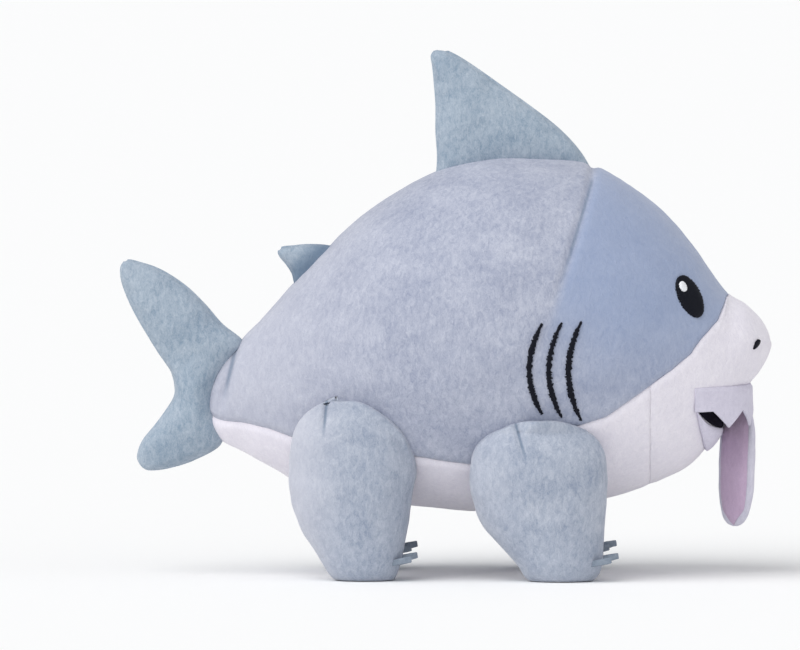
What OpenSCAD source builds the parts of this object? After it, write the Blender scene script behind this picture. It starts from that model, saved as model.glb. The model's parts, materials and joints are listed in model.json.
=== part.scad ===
// Plush shark standing on four stuffed legs, with a sewn head, fins, tail, mouth and tongue.
// +X points to the nose, +Y to the shark's left and +Z up. The floor is at z = 0.
// Every soft piece is a shell of cloth panels around its own stuffing.

/* [Body] */
// Length of the body, from the tail seam to the nose
body_length = 260; // [215:5:315]
// Height of the body from the belly to the back, where it is deepest
body_height = 164; // [135:1:200]
// Width of the body where it is widest
body_width = 134; // [110:1:162]
// Height of the belly above the floor
belly_clearance = 29; // [24:0.5:35]

/* [Cloth] */
// Thickness of the pile cloth with its seam allowance
skin = 2; // [1.6:0.1:2.4]
// Thickness of the felt
felt = 1.2; // [1:0.1:1.5]
// Height of the embroidery above the cloth
thread = 0.8; // [0.6:0.1:1]
// Slack between the cloth and the stuffing under it
slack = 0.1; // [0.1:0.05:0.2]

/* [Legs] */
// Height of a hind leg from the sole to the top seam
hind_leg_height = 83; // [69:1:99]
// Height of a front leg from the sole to the top seam
front_leg_height = 74; // [62:1:88]
// Width of a hind leg, seen from the side
hind_leg_width = 59; // [49:1:70]
// Width of a front leg, seen from the side
front_leg_width = 64; // [54:1:74]
// Thickness of a leg, seen from the front
leg_thickness = 40; // [34:1:48]
// How far a leg swings each way, in degrees
leg_swing = 12; // [6:1:14]

/* [Dorsal fin] */
// Height of the dorsal fin above the back
dorsal_height = 49; // [40:1:60]
// Length of the dorsal fin along the back
dorsal_length = 73; // [60:1:88]
// Thickness of the dorsal fin at its root
dorsal_thickness = 15; // [12:1:18]

/* [Rear fin] */
// Height of the rear fin above the back
rear_fin_height = 17; // [14:1:21]
// Length of the rear fin along the back
rear_fin_length = 24; // [20:1:29]
// Thickness of the rear fin at its root
rear_fin_thickness = 8; // [6.5:0.5:10]

/* [Tail] */
// How far the tail reaches behind the body
tail_reach = 40; // [33:1:48]
// Height of the tail, from its lower tip to its upper tip
tail_height = 98; // [82:1:118]
// Thickness of the tail at its root
tail_thickness = 14; // [12:1:17]
// Gap between the tail and the body, which the cloth bridges
tail_gap = 1.6; // [1.5:0.1:2]

/* [Face] */
// Height of an eye along its long axis
eye_height = 21; // [17:0.5:24]
// Width of an eye across its long axis
eye_width = 13; // [11:0.5:15]
// Width of a gill stroke
gill_width = 2.4; // [2:0.1:3]
// Number of gill strokes on each side
gill_count = 3; // [2:1:4]
// Number of teeth along the lip
tooth_count = 4; // [3:1:7]
// Depth of a tooth
tooth_depth = 8; // [6:0.5:10]

/* [Tongue] */
// Length of the tongue below its seam
tongue_length = 50; // [42:1:60]
// Width of the tongue
tongue_width = 19; // [16:1:22]
// Thickness of the tongue
tongue_thickness = 7; // [6:0.5:8.5]

/* [Claws] */
// Length of a claw in front of its seam
claw_length = 8; // [7:0.5:10]
// Width of a claw at its seam
claw_width = 7; // [6:0.5:8.5]
// Number of claws on each foot
claw_count = 3; // [2:1:4]

/* [Hidden] */

blue = [0.56, 0.63, 0.74];
white = [0.93, 0.93, 0.95];
lilac = [0.80, 0.78, 0.86];
black = [0.06, 0.06, 0.09];
pink = [0.74, 0.60, 0.70];
claw_blue = [0.50, 0.57, 0.66];
fill = [0.97, 0.97, 0.97];

joint_gap = 1.6;      // between bodies that swing past each other
lift = 0.05;          // between cloth and what is sewn flat on it
rear_x = tail_reach - (body_length + tail_reach) / 2;

// ---------- curves ----------

// A smooth curve through a list of points, each a list of numbers, at place u from 0 to len - 1.
function along(points, u) =
    let (last = len(points) - 1,
         i = min(floor(u), last - 1),
         t = u - i,
         a = points[max(i - 1, 0)],
         b = points[i],
         c = points[i + 1],
         d = points[min(i + 2, last)],
         m = (c - a) / 2,
         n = (d - b) / 2)
    b + m * t + (3 * (c - b) - 2 * m - n) * t * t + (2 * (b - c) + m + n) * t * t * t;

function evenly(points, count) =
    [for (i = [0 : count - 1]) along(points, i * (len(points) - 1) / (count - 1))];

// Column k of a table, against its first column, for lookup().
function column(table, k) = [for (row = table) [row[0], row[k]]];

// ---------- solids from grids of points ----------

function is_open(a, b, c) = norm(a - b) > 1e-6 && norm(b - c) > 1e-6 && norm(c - a) > 1e-6;

// The triangles of grid rows i by columns j, whose points start at index `from`.
function grid_faces(rows, cols, from, flip) =
    [for (i = [0 : rows - 2], j = [0 : cols - 2])
        let (a = from + i * cols + j, b = a + 1, c = a + cols + 1, d = a + cols)
        each flip ? [[a, b, c], [a, c, d]] : [[a, c, b], [a, d, c]]];

// The strip that joins a grid's border to the border of the grid `step` points further on. Opposite
// sides are split the same way, so that two sheets meet exactly along a seam.
function border_faces(rows, cols, step) =
    let (loop = concat(
        [for (j = [0 : cols - 2]) j],
        [for (i = [0 : rows - 2]) i * cols + cols - 1],
        [for (j = [cols - 1 : -1 : 1]) (rows - 1) * cols + j],
        [for (i = [rows - 1 : -1 : 1]) i * cols]))
    [for (k = [0 : len(loop) - 1])
        let (a = loop[k], b = loop[(k + 1) % len(loop)])
        each k < len(loop) / 2
            ? [[a, b, b + step], [a, b + step, a + step]]
            : [[a, b, a + step], [b, b + step, a + step]]];

// A sheet of cloth: the outer grid, the inner grid, and the edges between them.
module sheet_between(outer, inner) {
    rows = len(outer);
    cols = len(outer[0]);
    points = concat([for (row = outer) each row], [for (row = inner) each row]);
    faces = concat(
        grid_faces(rows, cols, 0, false),
        grid_faces(rows, cols, rows * cols, true),
        border_faces(rows, cols, rows * cols));
    polyhedron(points = points,
               faces = [for (f = faces) if (is_open(points[f[0]], points[f[1]], points[f[2]])) f]);
}

// A stuffed form: rings of points, each a closed loop, whose end rings are closed by caps. A cap is
// strips across its ring, between points that are as far from the ring's start as from its end.
module solid_of_rings(rings) {
    n = len(rings[0]);
    closed = [for (ring = rings) concat(ring, [ring[0]])];
    points = [for (ring = closed) each ring];
    last = (len(rings) - 1) * (n + 1);
    caps = [for (j = [0 : n / 2 - 2])
        let (k = n - 1 - j, end_j = last + j, end_k = last + k)
        each [[j, k - 1, k], [j, j + 1, k - 1],
              [end_j, end_k, end_k - 1], [end_j, end_k - 1, end_j + 1]]];
    faces = concat(grid_faces(len(rings), n + 1, 0, false), caps);
    polyhedron(points = points,
               faces = [for (f = faces) if (is_open(points[f[0]], points[f[1]], points[f[2]])) f]);
}

// A left side's grid, or the same grid on the right side with its columns the other way round.
function sided(grid, side) = side == "left" ? grid :
    [for (row = grid) [for (j = [len(row) - 1 : -1 : 0]) [row[j].x, -row[j].y, row[j].z]]];

module on_side(side) {
    if (side == "left")
        children();
    else
        mirror([0, 1, 0]) children();
}

// ---------- body ----------

// Stations from tail to nose, as shares: place along the body, back and belly height, half width.
body_outline = [
    [0.000, 0.309, 0.289, 0.010],
    [0.006, 0.357, 0.247, 0.075],
    [0.017, 0.399, 0.216, 0.127],
    [0.036, 0.445, 0.192, 0.179],
    [0.067, 0.497, 0.168, 0.246],
    [0.109, 0.561, 0.128, 0.343],
    [0.178, 0.684, 0.070, 0.515],
    [0.286, 0.846, 0.030, 0.761],
    [0.424, 0.968, 0.009, 0.933],
    [0.555, 1.000, 0.000, 1.000],
    [0.685, 0.973, 0.030, 0.940],
    [0.785, 0.878, 0.079, 0.799],
    [0.858, 0.756, 0.137, 0.634],
    [0.916, 0.625, 0.250, 0.470],
    [0.954, 0.582, 0.345, 0.351],
    [0.979, 0.545, 0.394, 0.224],
    [0.994, 0.505, 0.436, 0.104],
    [1.000, 0.474, 0.466, 0.006]];

// Stations, by index in body_outline, where the panels have a row of points.
muzzle_top = 13.2;
body_rows = [0, 1, 2, 3, 4, 5, 5.5, 6, 6.5, 7, 7.5, 8, 8.5, 9, 9.5, 10, 10.5, 11, 11.5, 12, 12.5,
             12.8, 13, muzzle_top, 13.6, 14, 15, 16, 17];
belly_end = 11;       // the station of the seam between the belly and the muzzle

// Angle of the seam between blue and white cloth, up from the widest line, at each station.
seam_angles = [[0, -30], [5, -29], [7, -38], [8, -44], [8.5, -46], [9, -39], [9.7, -31], [10.2, -28],
               [10.8, -19], [11.5, -7.5], [12, 2], [12.5, 19], [12.8, 32], [13, 52], [muzzle_top, 90]];
function seam_angle(u) = lookup(u, seam_angles);

// [x, centre height, half height, half width] of the body at station u.
function station(u) =
    let (s = along(body_outline, u))
    [rear_x + s[0] * body_length,
     belly_clearance + body_height * (s[1] + s[2]) / 2,
     body_height * (s[1] - s[2]) / 2,
     body_width / 2 * s[3]];

body_middle = rear_x + body_length / 2;

// The point at station u and angle a, on the left, `depth` inside the cloth's face.
function body_point(u, a, depth = 0) =
    let (s = station(u),
         pull = 1 - 2 * depth / body_length)
    [body_middle + (s[0] - body_middle) * pull,
     s[3] * max(1 - depth / s[3], 0.3) * cos(a),
     s[1] + s[2] * max(1 - depth / s[2], 0.3) * sin(a)];

station_table = [for (u = body_rows) station(u)];
centre_table = column(station_table, 1);
height_table = column(station_table, 2);
width_table = column(station_table, 3);

// How far the body's side stands from the middle plane at (x, z), or 0 off the body.
function flank(x, z) =
    let (s = (z - lookup(x, centre_table)) / lookup(x, height_table))
    abs(s) < 1 ? lookup(x, width_table) * sqrt(1 - s * s) : 0;

// The left side's surface at (x, z), moved out along its normal.
function on_flank(x, z, out) =
    let (d = 0.5,
         dx = (flank(x + d, z) - flank(x - d, z)) / (2 * d),
         dz = (flank(x, z + d) - flank(x, z - d)) / (2 * d),
         n = [-dx, 1, -dz] / norm([-dx, 1, -dz]))
    [x, flank(x, z), z] + n * out;

back_steps = 8;
belly_steps = 6;
function between(a, b, n) = [for (j = [0 : n]) a + (b - a) * j / n];
function back_angles(u) = between(seam_angle(u), 90, back_steps);
function white_angles(u) = between(-90, u < muzzle_top ? seam_angle(u) : 90, belly_steps);

function rows_between(low, high) = [for (u = body_rows) if (u >= low && u <= high) u];

module back_panel(side) {
    rows = rows_between(0, muzzle_top);
    color(blue) sheet_between(
        sided([for (u = rows) [for (a = back_angles(u)) body_point(u, a)]], side),
        sided([for (u = rows) [for (a = back_angles(u)) body_point(u, a, skin)]], side));
}

function belly_ring(u, depth) =
    let (left = [for (a = white_angles(u)) body_point(u, a, depth)])
    concat([for (j = [belly_steps : -1 : 1]) [left[j].x, -left[j].y, left[j].z]], left);

module belly_panel() {
    rows = rows_between(0, belly_end);
    color(white) sheet_between(
        [for (u = rows) belly_ring(u, 0)],
        [for (u = rows) belly_ring(u, skin)]);
}

module muzzle_panel(side) {
    rows = rows_between(belly_end, len(body_outline) - 1);
    color(white) sheet_between(
        sided([for (u = rows) [for (a = white_angles(u)) body_point(u, a)]], side),
        sided([for (u = rows) [for (a = white_angles(u)) body_point(u, a, skin)]], side));
}

// Past the muzzle's top the ring keeps its number of points, so the back steps sit in one place.
function stuffing_ring(u) =
    let (depth = skin + slack,
         left = concat([for (a = white_angles(u)) body_point(u, a, depth)],
                       [for (j = [1 : back_steps]) u < muzzle_top
                           ? body_point(u, back_angles(u)[j], depth)
                           : body_point(u, 90, depth)]),
         n = len(left))
    concat(left, [for (j = [n - 2 : -1 : 1]) [left[j].x, -left[j].y, left[j].z]]);

module body_stuffing() {
    color(fill) solid_of_rings([for (u = body_rows) stuffing_ring(u)]);
}

// ---------- legs ----------

// Rows from the sole to the top: height, middle and half width along x, middle and half of the
// thickness along y. Heights, widths and thicknesses are shares of the leg's own.
hind_rows = [
    [0.000, 0.20, 0.00, -0.01, 0.00],
    [0.000, 0.20, 0.40, -0.01, 0.48],
    [0.020, 0.18, 0.50, -0.01, 0.66],
    [0.100, 0.14, 0.62, -0.01, 0.84],
    [0.290, 0.03, 0.84, 0.00, 0.94],
    [0.480, -0.01, 0.97, 0.02, 0.96],
    [0.630, 0.00, 1.00, 0.06, 0.90],
    [0.780, -0.05, 0.91, 0.12, 0.76],
    [0.900, -0.13, 0.68, 0.18, 0.52],
    [0.980, -0.15, 0.34, 0.24, 0.24],
    [1.000, -0.15, 0.00, 0.26, 0.00]];
front_rows = [
    [0.000, 0.32, 0.00, 0.00, 0.00],
    [0.000, 0.32, 0.40, 0.00, 0.48],
    [0.020, 0.32, 0.50, 0.00, 0.66],
    [0.110, 0.29, 0.62, 0.00, 0.84],
    [0.320, 0.10, 0.86, 0.02, 0.96],
    [0.520, 0.02, 0.97, 0.06, 1.00],
    [0.680, 0.00, 1.00, 0.14, 0.94],
    [0.820, 0.01, 0.93, 0.24, 0.76],
    [0.920, 0.02, 0.74, 0.32, 0.50],
    [0.985, 0.02, 0.38, 0.38, 0.24],
    [1.000, 0.02, 0.00, 0.40, 0.00]];

hind_hip = [rear_x + 0.258 * body_length, 42, 0.66 * hind_leg_height];
front_hip = [rear_x + 0.587 * body_length, 48, 0.68 * front_leg_height];

// [hip, height, width, rows] of a leg.
function leg(end) = end == "front"
    ? [front_hip, front_leg_height, front_leg_width, front_rows]
    : [hind_hip, hind_leg_height, hind_leg_width, hind_rows];

// The body's side as the leg meets it, at every angle that the leg swings through.
swing_steps = [-1, -0.5, 0, 0.5, 1];
function swept_flank(hip, x, z) = max([for (s = swing_steps)
    let (a = s * leg_swing, dx = x - hip.x, dz = z - hip.z)
    flank(hip.x + dx * cos(a) + dz * sin(a), hip.z - dx * sin(a) + dz * cos(a))]);

// A leg's point: row r of its table, angle t round the leg, `depth` inside the cloth's face.
// Angles from 0 to 180 are the outer side, and the rest is the side against the body.
leg_edge = 8;         // least thickness of a leg where it lies on the body
function leg_point(end, r, t, depth = 0) =
    let (set = leg(end),
         hip = set[0],
         row = set[3][r],
         last = len(set[3]) - 1,
         half = set[2] / 2,
         z = max(depth, min(row[0] * set[1], set[1] - depth)),
         x = hip.x + row[1] * half + max(row[2] * half - depth, 0) * cos(t),
         deep = leg_thickness / 2,
         y = hip.y + row[3] * deep + max(row[4] * deep - depth, 0) * sin(t),
         bed = swept_flank(hip, x, z) + joint_gap + depth,
         rise = r == 0 || r == last ? 0 : max(leg_edge - 2 * depth, 1) * max(sin(t), 0))
    [x, max(y, bed + rise), z];

leg_steps = 8;
module leg_panel(end, side, from) {
    angles = between(from, from + 180, leg_steps);
    rows = [0 : len(leg(end)[3]) - 1];
    color(blue) on_side(side) sheet_between(
        [for (r = rows) [for (t = angles) leg_point(end, r, t)]],
        [for (r = rows) [for (t = angles) leg_point(end, r, t, skin)]]);
}

module leg_outer(end, side) { leg_panel(end, side, 0); }

module leg_inner(end, side) { leg_panel(end, side, 180); }

module leg_stuffing(end, side) {
    color(fill) on_side(side) solid_of_rings(
        [for (r = [0 : len(leg(end)[3]) - 1])
            [for (j = [0 : 2 * leg_steps - 1])
                leg_point(end, r, j * 180 / leg_steps, skin + slack)]]);
}

// Felt claws, sewn into the front of the foot and fanned out.
claw_height = 10;     // of the middle claw's seam above the floor
claw_fan = 26;        // degrees between claws
claw_sunk = 1.8;      // of the claw inside the seam
module claws(end, side) {
    set = leg(end);
    hip = set[0];
    toe = set[3][3];
    half = set[2] / 2;
    toe_x = hip.x + toe[1] * half;
    toe_y = hip.y + toe[3] * leg_thickness / 2;
    color(claw_blue) on_side(side)
        for (k = [0 : claw_count - 1])
            let (a = (k - (claw_count - 1) / 2) * claw_fan,
                 out_x = toe[2] * half,
                 out_y = toe[4] * leg_thickness / 2,
                 reach = 1 / sqrt(pow(cos(a) / out_x, 2) + pow(sin(a) / out_y, 2)))
                translate([toe_x + reach * cos(a), toe_y + reach * sin(a), claw_height - 3 * abs(sin(a))])
                    rotate([0, 0, a])
                        rotate([0, -12, 0])
                            translate([-claw_sunk, 0, -felt / 2])
                                linear_extrude(felt)
                                    polygon([[0, -claw_width / 2],
                                             [claw_sunk + claw_length * 0.45, -claw_width / 2],
                                             [claw_sunk + claw_length, 0],
                                             [claw_sunk + claw_length * 0.45, claw_width / 2],
                                             [0, claw_width / 2]]);
}

// ---------- fins and tail ----------

// A blade is a list of rows, each a front point and a back point in the middle plane, as [x, z],
// the blade's half thickness between them, and how far the row's middle arches up.
rim = 1.4;            // half thickness of the sewn edge
blade_steps = 8;

function bulge(v) = pow(max(1 - v * v, 0), 0.7);

function blade_grid(rows, depth) =
    [for (row = rows)
        [for (v = between(-1, 1, blade_steps))
            let (at = (row[0] + row[1]) / 2 + v * (row[1] - row[0]) / 2,
                 y = rim + row[2] * bulge(v))
            [at[0], depth == 0 ? y : max(y - depth, lift), at[1] + row[3] * (1 - v * v)]]];

module blade_panel(rows, side) {
    color(blue) on_side(side) sheet_between(blade_grid(rows, 0), blade_grid(rows, skin));
}

// The blade's filling, inside the two panels: the rows that are thick enough, drawn in from the rim.
module blade_stuffing(rows) {
    need = skin + slack + 0.6 - rim;
    thick = [for (row = rows) if (row[2] > 1.6 * need) row];
    color(fill) solid_of_rings(
        [for (row = thick)
            let (reach = sqrt(1 - pow(need / row[2], 1 / 0.7)),
                 left = [for (v = between(-reach, reach, blade_steps))
                     let (at = (row[0] + row[1]) / 2 + v * (row[1] - row[0]) / 2)
                     [at[0], rim + row[2] * bulge(v) - skin - slack, at[1] + row[3] * (1 - v * v)]],
                 n = len(left))
            concat(left, [for (j = [n - 1 : -1 : 0]) [left[j].x, -left[j].y, left[j].z]])]);
}

// Height of the back at x.
function back_height(x) = lookup(x, centre_table) + lookup(x, height_table);

// The dorsal fin's root stands on the back, clear of it as the fin leans either way.
dorsal_front_x = rear_x + 0.685 * body_length;
dorsal_clear = 1.8;
dorsal_shape = [   // height, front, back, thickness: shares of the fin's own sizes
    [0.00, 0.00, 1.00, 0.86],
    [0.14, 0.08, 0.99, 1.00],
    [0.32, 0.22, 1.00, 0.94],
    [0.52, 0.41, 1.00, 0.80],
    [0.70, 0.59, 1.01, 0.64],
    [0.85, 0.74, 1.02, 0.46],
    [0.95, 0.86, 1.03, 0.28],
    [1.00, 0.92, 1.01, 0.08]];
dorsal_base = back_height(dorsal_front_x) + dorsal_clear;
dorsal_top = back_height(dorsal_front_x - dorsal_length / 2) + dorsal_height;
dorsal_arch = dorsal_top - dorsal_height + dorsal_clear - dorsal_base;
dorsal_rows = [for (s = evenly(dorsal_shape, 10))
    let (z = dorsal_base + s[0] * (dorsal_top - dorsal_base))
    [[dorsal_front_x - s[1] * dorsal_length, z],
     [dorsal_front_x - s[2] * dorsal_length, z],
     s[3] * (dorsal_thickness / 2 - rim),
     dorsal_arch * pow(1 - s[0], 3)]];

// The rear fin leans back from the slope of the back.
rear_fin_front_x = rear_x + 0.218 * body_length;
rear_fin_clear = 1.8;
rear_fin_slope = atan2(back_height(rear_fin_front_x) - back_height(rear_fin_front_x - 16), 16);
rear_fin_shape = [  // height, front, back, thickness
    [0.00, 0.00, 1.00, 0.85],
    [0.25, 0.14, 0.92, 1.00],
    [0.55, 0.36, 0.87, 0.86],
    [0.85, 0.60, 0.86, 0.52],
    [1.00, 0.74, 0.82, 0.10]];
rear_fin_rows = [for (s = evenly(rear_fin_shape, 7))
    [[-s[1] * rear_fin_length, s[0] * rear_fin_height],
     [-s[2] * rear_fin_length, s[0] * rear_fin_height],
     s[3] * (rear_fin_thickness / 2 - rim * 0.8), 0]];

module at_rear_fin() {
    translate([rear_fin_front_x, 0, back_height(rear_fin_front_x)])
        rotate([0, -rear_fin_slope, 0])
            translate([-1, 0, rear_fin_clear])
                children();
}

// The tail's leading edge, with the body seam in its middle, and its trailing edge, with the notch.
// Each point is a share: behind the body's rear end, and above the tail's lower tip.
tail_low = belly_clearance + 0.116 * body_height;
tail_front = [
    [0.68, 0.000], [0.42, 0.015], [0.14, 0.060], [-0.11, 0.140], [0.00, 0.250], [0.00, 0.350],
    [-0.10, 0.460], [-0.26, 0.560], [-0.36, 0.625], [-0.21, 0.690], [-0.02, 0.790], [0.22, 0.880],
    [0.52, 0.955], [0.84, 0.995]];
tail_back = [
    [0.80, 0.060], [0.74, 0.140], [0.58, 0.220], [0.45, 0.290], [0.36, 0.350], [0.35, 0.400],
    [0.39, 0.465], [0.47, 0.515], [0.55, 0.560], [0.66, 0.630], [0.81, 0.730], [0.92, 0.820],
    [0.99, 0.900], [1.00, 0.965]];
tail_bulge = [0.12, 0.50, 0.72, 0.88, 0.98, 1.00, 0.96, 0.90, 0.86, 0.82, 0.74, 0.62, 0.44, 0.12];
function at_tail(s, gap) =
    [rear_x - gap - s[0] * (tail_reach - gap), tail_low + s[1] * tail_height];
tail_rows = [for (i = [0 : len(tail_front) - 1])
    [at_tail(tail_front[i], tail_gap), at_tail(tail_back[i], tail_gap),
     tail_bulge[i] * (tail_thickness / 2 - rim), 0]];

// ---------- face ----------

eye_x = rear_x + 0.858 * body_length;
eye_z = belly_clearance + 0.616 * body_height;
eye_tilt = 27;        // degrees that the eye's long axis leans forward at its foot
eye_turn = 0.72;      // how much narrower the eye looks from the side, because the head turns there

// Rings of a patch of thread on the left side: an ellipse at (x, z), domed to `high`.
function patch_grid(x, z, wide, tall, tilt, low, high) =
    [for (r = [0 : 3])
        [for (k = [0 : 16])
            let (s = r / 3,
                 a = k * 22.5,
                 p = s * wide / 2 * cos(a),
                 q = s * tall / 2 * sin(a))
            on_flank(x + p * cos(tilt) - q * sin(tilt),
                     z + p * sin(tilt) + q * cos(tilt),
                     low + (high - low) * sqrt(max(1 - s * s, 0.1)))]];

// The strip of faces on a patch closes on itself, so the patch is rings from its centre out.
module patch_on_flank(x, z, wide, tall, tilt, low, high) {
    top = patch_grid(x, z, wide, tall, tilt, low, high);
    foot = patch_grid(x, z, wide, tall, tilt, low, low);
    solid_of_rings([for (ring = [top[0], top[1], top[2], top[3], foot[3], foot[2], foot[1], foot[0]])
        [for (k = [0 : 15]) ring[k]]]);
}

module eye(side) {
    color(black) on_side(side)
        patch_on_flank(eye_x, eye_z, eye_width * eye_turn, eye_height, eye_tilt, lift, thread);
}

module eye_glint(side) {
    color(white) on_side(side)
        patch_on_flank(eye_x - 3.4, eye_z + 4.8, 3.6 * eye_turn, 5, eye_tilt, thread + 0.15, thread * 2);
}

nostril_x = rear_x + 0.972 * body_length;
nostril_z = belly_clearance + 0.476 * body_height;
module nostril(side) {
    color(black) on_side(side)
        patch_on_flank(nostril_x, nostril_z, 1.6, 4.6, -28, lift, thread);
}

// A gill is an arc of thread that bows towards the tail.
gill_x = rear_x + 0.570 * body_length;
gill_pitch = 9;
gill_z = belly_clearance + 0.427 * body_height;
gill_height = 42;
gill_bow = 6;
gill_rows = 10;
function gill_at(k, s, across, out) =
    on_flank(gill_x + k * gill_pitch + gill_bow * s * s + across,
             gill_z - 0.6 * k + s * (gill_height / 2 + k), out);

module gills(side) {
    color(black) on_side(side)
        for (k = [0 : gill_count - 1])
            solid_of_rings([for (i = [0 : gill_rows])
                let (s = 2 * i / gill_rows - 1,
                     half = gill_width / 2 * (1 - 0.6 * s * s * s * s))
                [gill_at(k, s, half, lift), gill_at(k, s, half / 2, thread),
                 gill_at(k, s, -half / 2, thread), gill_at(k, s, -half, lift)]]);
}

// The mouth is a smile across the muzzle's lower front. Place s runs from -1 at the right corner
// to 1 at the left. lip 0 is its lower edge, and lip 1 its upper edge under the toothed flap.
mouth_steps = 12;
function mouth_point(s, lip, depth) =
    let (u = (1 - lip) * (13.0 - 0.5 * s * s) + lip * (14.1 - 1.4 * s * s),
         a = (1 - lip) * (-90 + 52 * abs(s)) + lip * (-90 + 58 * abs(s)),
         p = body_point(u, a, depth))
    [p.x, s < 0 ? -p.y : p.y, p.z];

function chin_point(s, depth) =
    let (p = body_point(12.35 - 0.35 * s * s, -90 + 66 * abs(s), depth))
    [p.x, s < 0 ? -p.y : p.y, p.z];

module mouth_lining() {
    across = between(-1, 1, mouth_steps);
    rows = [0, 0.35, 0.7, 1];
    color(black) sheet_between(
        [for (l = rows) [for (s = across) mouth_point(s, l, -felt)]],
        [for (l = rows) [for (s = across) mouth_point(s, l, -lift)]]);
}

// The lower lip is a band of felt on the chin, between the ends of the upper lip.
lip_reach = 0.9;      // how far the band runs towards the corners of the mouth
lip_lift = 0.45;      // of the band above the curve of the chin
module lower_lip() {
    across = between(-lip_reach, lip_reach, mouth_steps);
    thick = lip_lift + felt;
    color(lilac) sheet_between(
        [[for (s = across) chin_point(s, -lip_lift - lift)],
         [for (s = across) (chin_point(s, -thick) + mouth_point(s, -0.06, -thick)) / 2],
         [for (s = across) mouth_point(s, -0.06, -thick)]],
        [[for (s = across) chin_point(s, -lip_lift)],
         [for (s = across) (chin_point(s, -lip_lift) + mouth_point(s, -0.06, -lip_lift)) / 2],
         [for (s = across) mouth_point(s, -0.06, -lip_lift)]]);
}

// The upper lip is a felt flap that ends in teeth. Its top and its two ends lie on the muzzle,
// and its middle hangs straight down, clear of the chin.
lip_top = belly_clearance + 0.362 * body_height;
lip_rear = rear_x + 0.862 * body_length;
lip_front = lookup(lip_top, [for (s = station_table) if (s[0] > lip_rear) [s[1] - s[2], s[0]]]);
lip_depth = 11;       // from the lip's seam down to the notches between teeth
tooth_reach = 0.8;    // share of the lip's edge with teeth, between the plain ends
function tooth(v) =
    let (t = (v / tooth_reach + 1) / 2 * tooth_count)
    abs(v) < tooth_reach ? 1 - abs(2 * (t - floor(t)) - 1) : 0;
function lip_point(t, low, out) =
    let (v = 2 * t - 1,
         x = lip_rear + (lip_front - lip_rear) * cos(90 * v),
         z = lip_top - (low ? lip_depth + tooth_depth * tooth(v) : 0),
         hang = 1 - pow(abs(v), 6),
         y = flank(x, lip_top) * hang + flank(x, z) * (1 - hang),
         p = [x - lip_rear + 14, v < 0 ? -y : y] * (1 + (out + 0.2) / norm([x - lip_rear + 14, y])))
    [p.x + lip_rear - 14, p.y, z];

module upper_lip() {
    places = between(0, 1, 10 * tooth_count);
    color(lilac) sheet_between(
        [[for (t = places) lip_point(t, true, felt)], [for (t = places) lip_point(t, false, felt)]],
        [[for (t = places) lip_point(t, true, 0)], [for (t = places) lip_point(t, false, 0)]]);
}

// The tongue hangs from a seam just behind the front teeth. It is turned to the shark's right, and
// swings about the line of its own width.
tongue_seam = [lip_front - 5, 0, lip_top - 16];
tongue_turn = 48;
tongue_lean = 2;      // how far the tip hangs behind the seam
tongue_shape = [   // place down the tongue, share of the width, share of the thickness
    [0.00, 0.40, 0.46], [0.10, 0.68, 0.62], [0.24, 0.94, 0.92], [0.45, 1.00, 1.00],
    [0.70, 0.98, 0.92], [0.88, 0.76, 0.70], [0.97, 0.42, 0.40], [1.00, 0.08, 0.12]];
function tongue_grid(face, depth) =
    [for (s = evenly(tongue_shape, 11))
        [for (v = between(-1, 1, 6))
            let (wide = s[1] * tongue_width / 2,
                 thick = 0.3 + s[2] * (tongue_thickness / 2 - 0.3) * bulge(v),
                 y = v * wide,
                 x = face * (depth == 0 ? thick : lift / 2))
            tongue_seam + [x * cos(tongue_turn) - y * sin(tongue_turn) - tongue_lean * s[0],
                           x * sin(tongue_turn) + y * cos(tongue_turn),
                           -s[0] * tongue_length]]];

module tongue_front() {
    color(lilac) sheet_between(tongue_grid(1, 1), tongue_grid(1, 0));
}

module tongue_back() {
    color(pink) sheet_between(tongue_grid(-1, 0), tongue_grid(-1, 1));
}

// A blank cloth label in the seam under the left flank, near the tail.
label_x = rear_x + 0.105 * body_length;
label_width = 12;
label_length = 16;
label_sunk = 1;
module care_label() {
    z = lookup(label_x, centre_table) + lookup(label_x, height_table) * sin(seam_angle(5));
    y = flank(label_x, z);
    half = label_width / 2;
    turn = atan2(flank(label_x + half, z) - flank(label_x - half, z), label_width);
    color(white)
        translate([label_x, y, z])
            rotate([0, 0, turn])
                rotate([-40, 0, 0])
                    translate([-half, -label_sunk, -0.25])
                        cube([label_width, label_length + label_sunk, 0.5]);
}

body_stuffing();
back_panel("left");  // back_panel_left
back_panel("right");  // back_panel_right
belly_panel();
muzzle_panel("left");  // muzzle_panel_left
muzzle_panel("right");  // muzzle_panel_right
upper_lip();
lower_lip();
mouth_lining();
tongue_front();
tongue_back();
eye("left");  // eye_left
eye("right");  // eye_right
eye_glint("left");  // eye_glint_left
eye_glint("right");  // eye_glint_right
nostril("left");  // nostril_left
nostril("right");  // nostril_right
gills("left");  // gills_left
gills("right");  // gills_right
blade_panel(dorsal_rows, "left");  // dorsal_fin_left
blade_panel(dorsal_rows, "right");  // dorsal_fin_right
blade_stuffing(dorsal_rows);  // dorsal_fin_stuffing
at_rear_fin() blade_panel(rear_fin_rows, "left");  // rear_fin_left
at_rear_fin() blade_panel(rear_fin_rows, "right");  // rear_fin_right
at_rear_fin() blade_stuffing(rear_fin_rows);  // rear_fin_stuffing
blade_panel(tail_rows, "left");  // tail_left
blade_panel(tail_rows, "right");  // tail_right
blade_stuffing(tail_rows);  // tail_stuffing
care_label();
leg_outer("front", "left");  // front_left_leg_outer
leg_inner("front", "left");  // front_left_leg_inner
leg_stuffing("front", "left");  // front_left_leg_stuffing
claws("front", "left");  // front_left_claws
leg_outer("front", "right");  // front_right_leg_outer
leg_inner("front", "right");  // front_right_leg_inner
leg_stuffing("front", "right");  // front_right_leg_stuffing
claws("front", "right");  // front_right_claws
leg_outer("hind", "left");  // hind_left_leg_outer
leg_inner("hind", "left");  // hind_left_leg_inner
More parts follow.
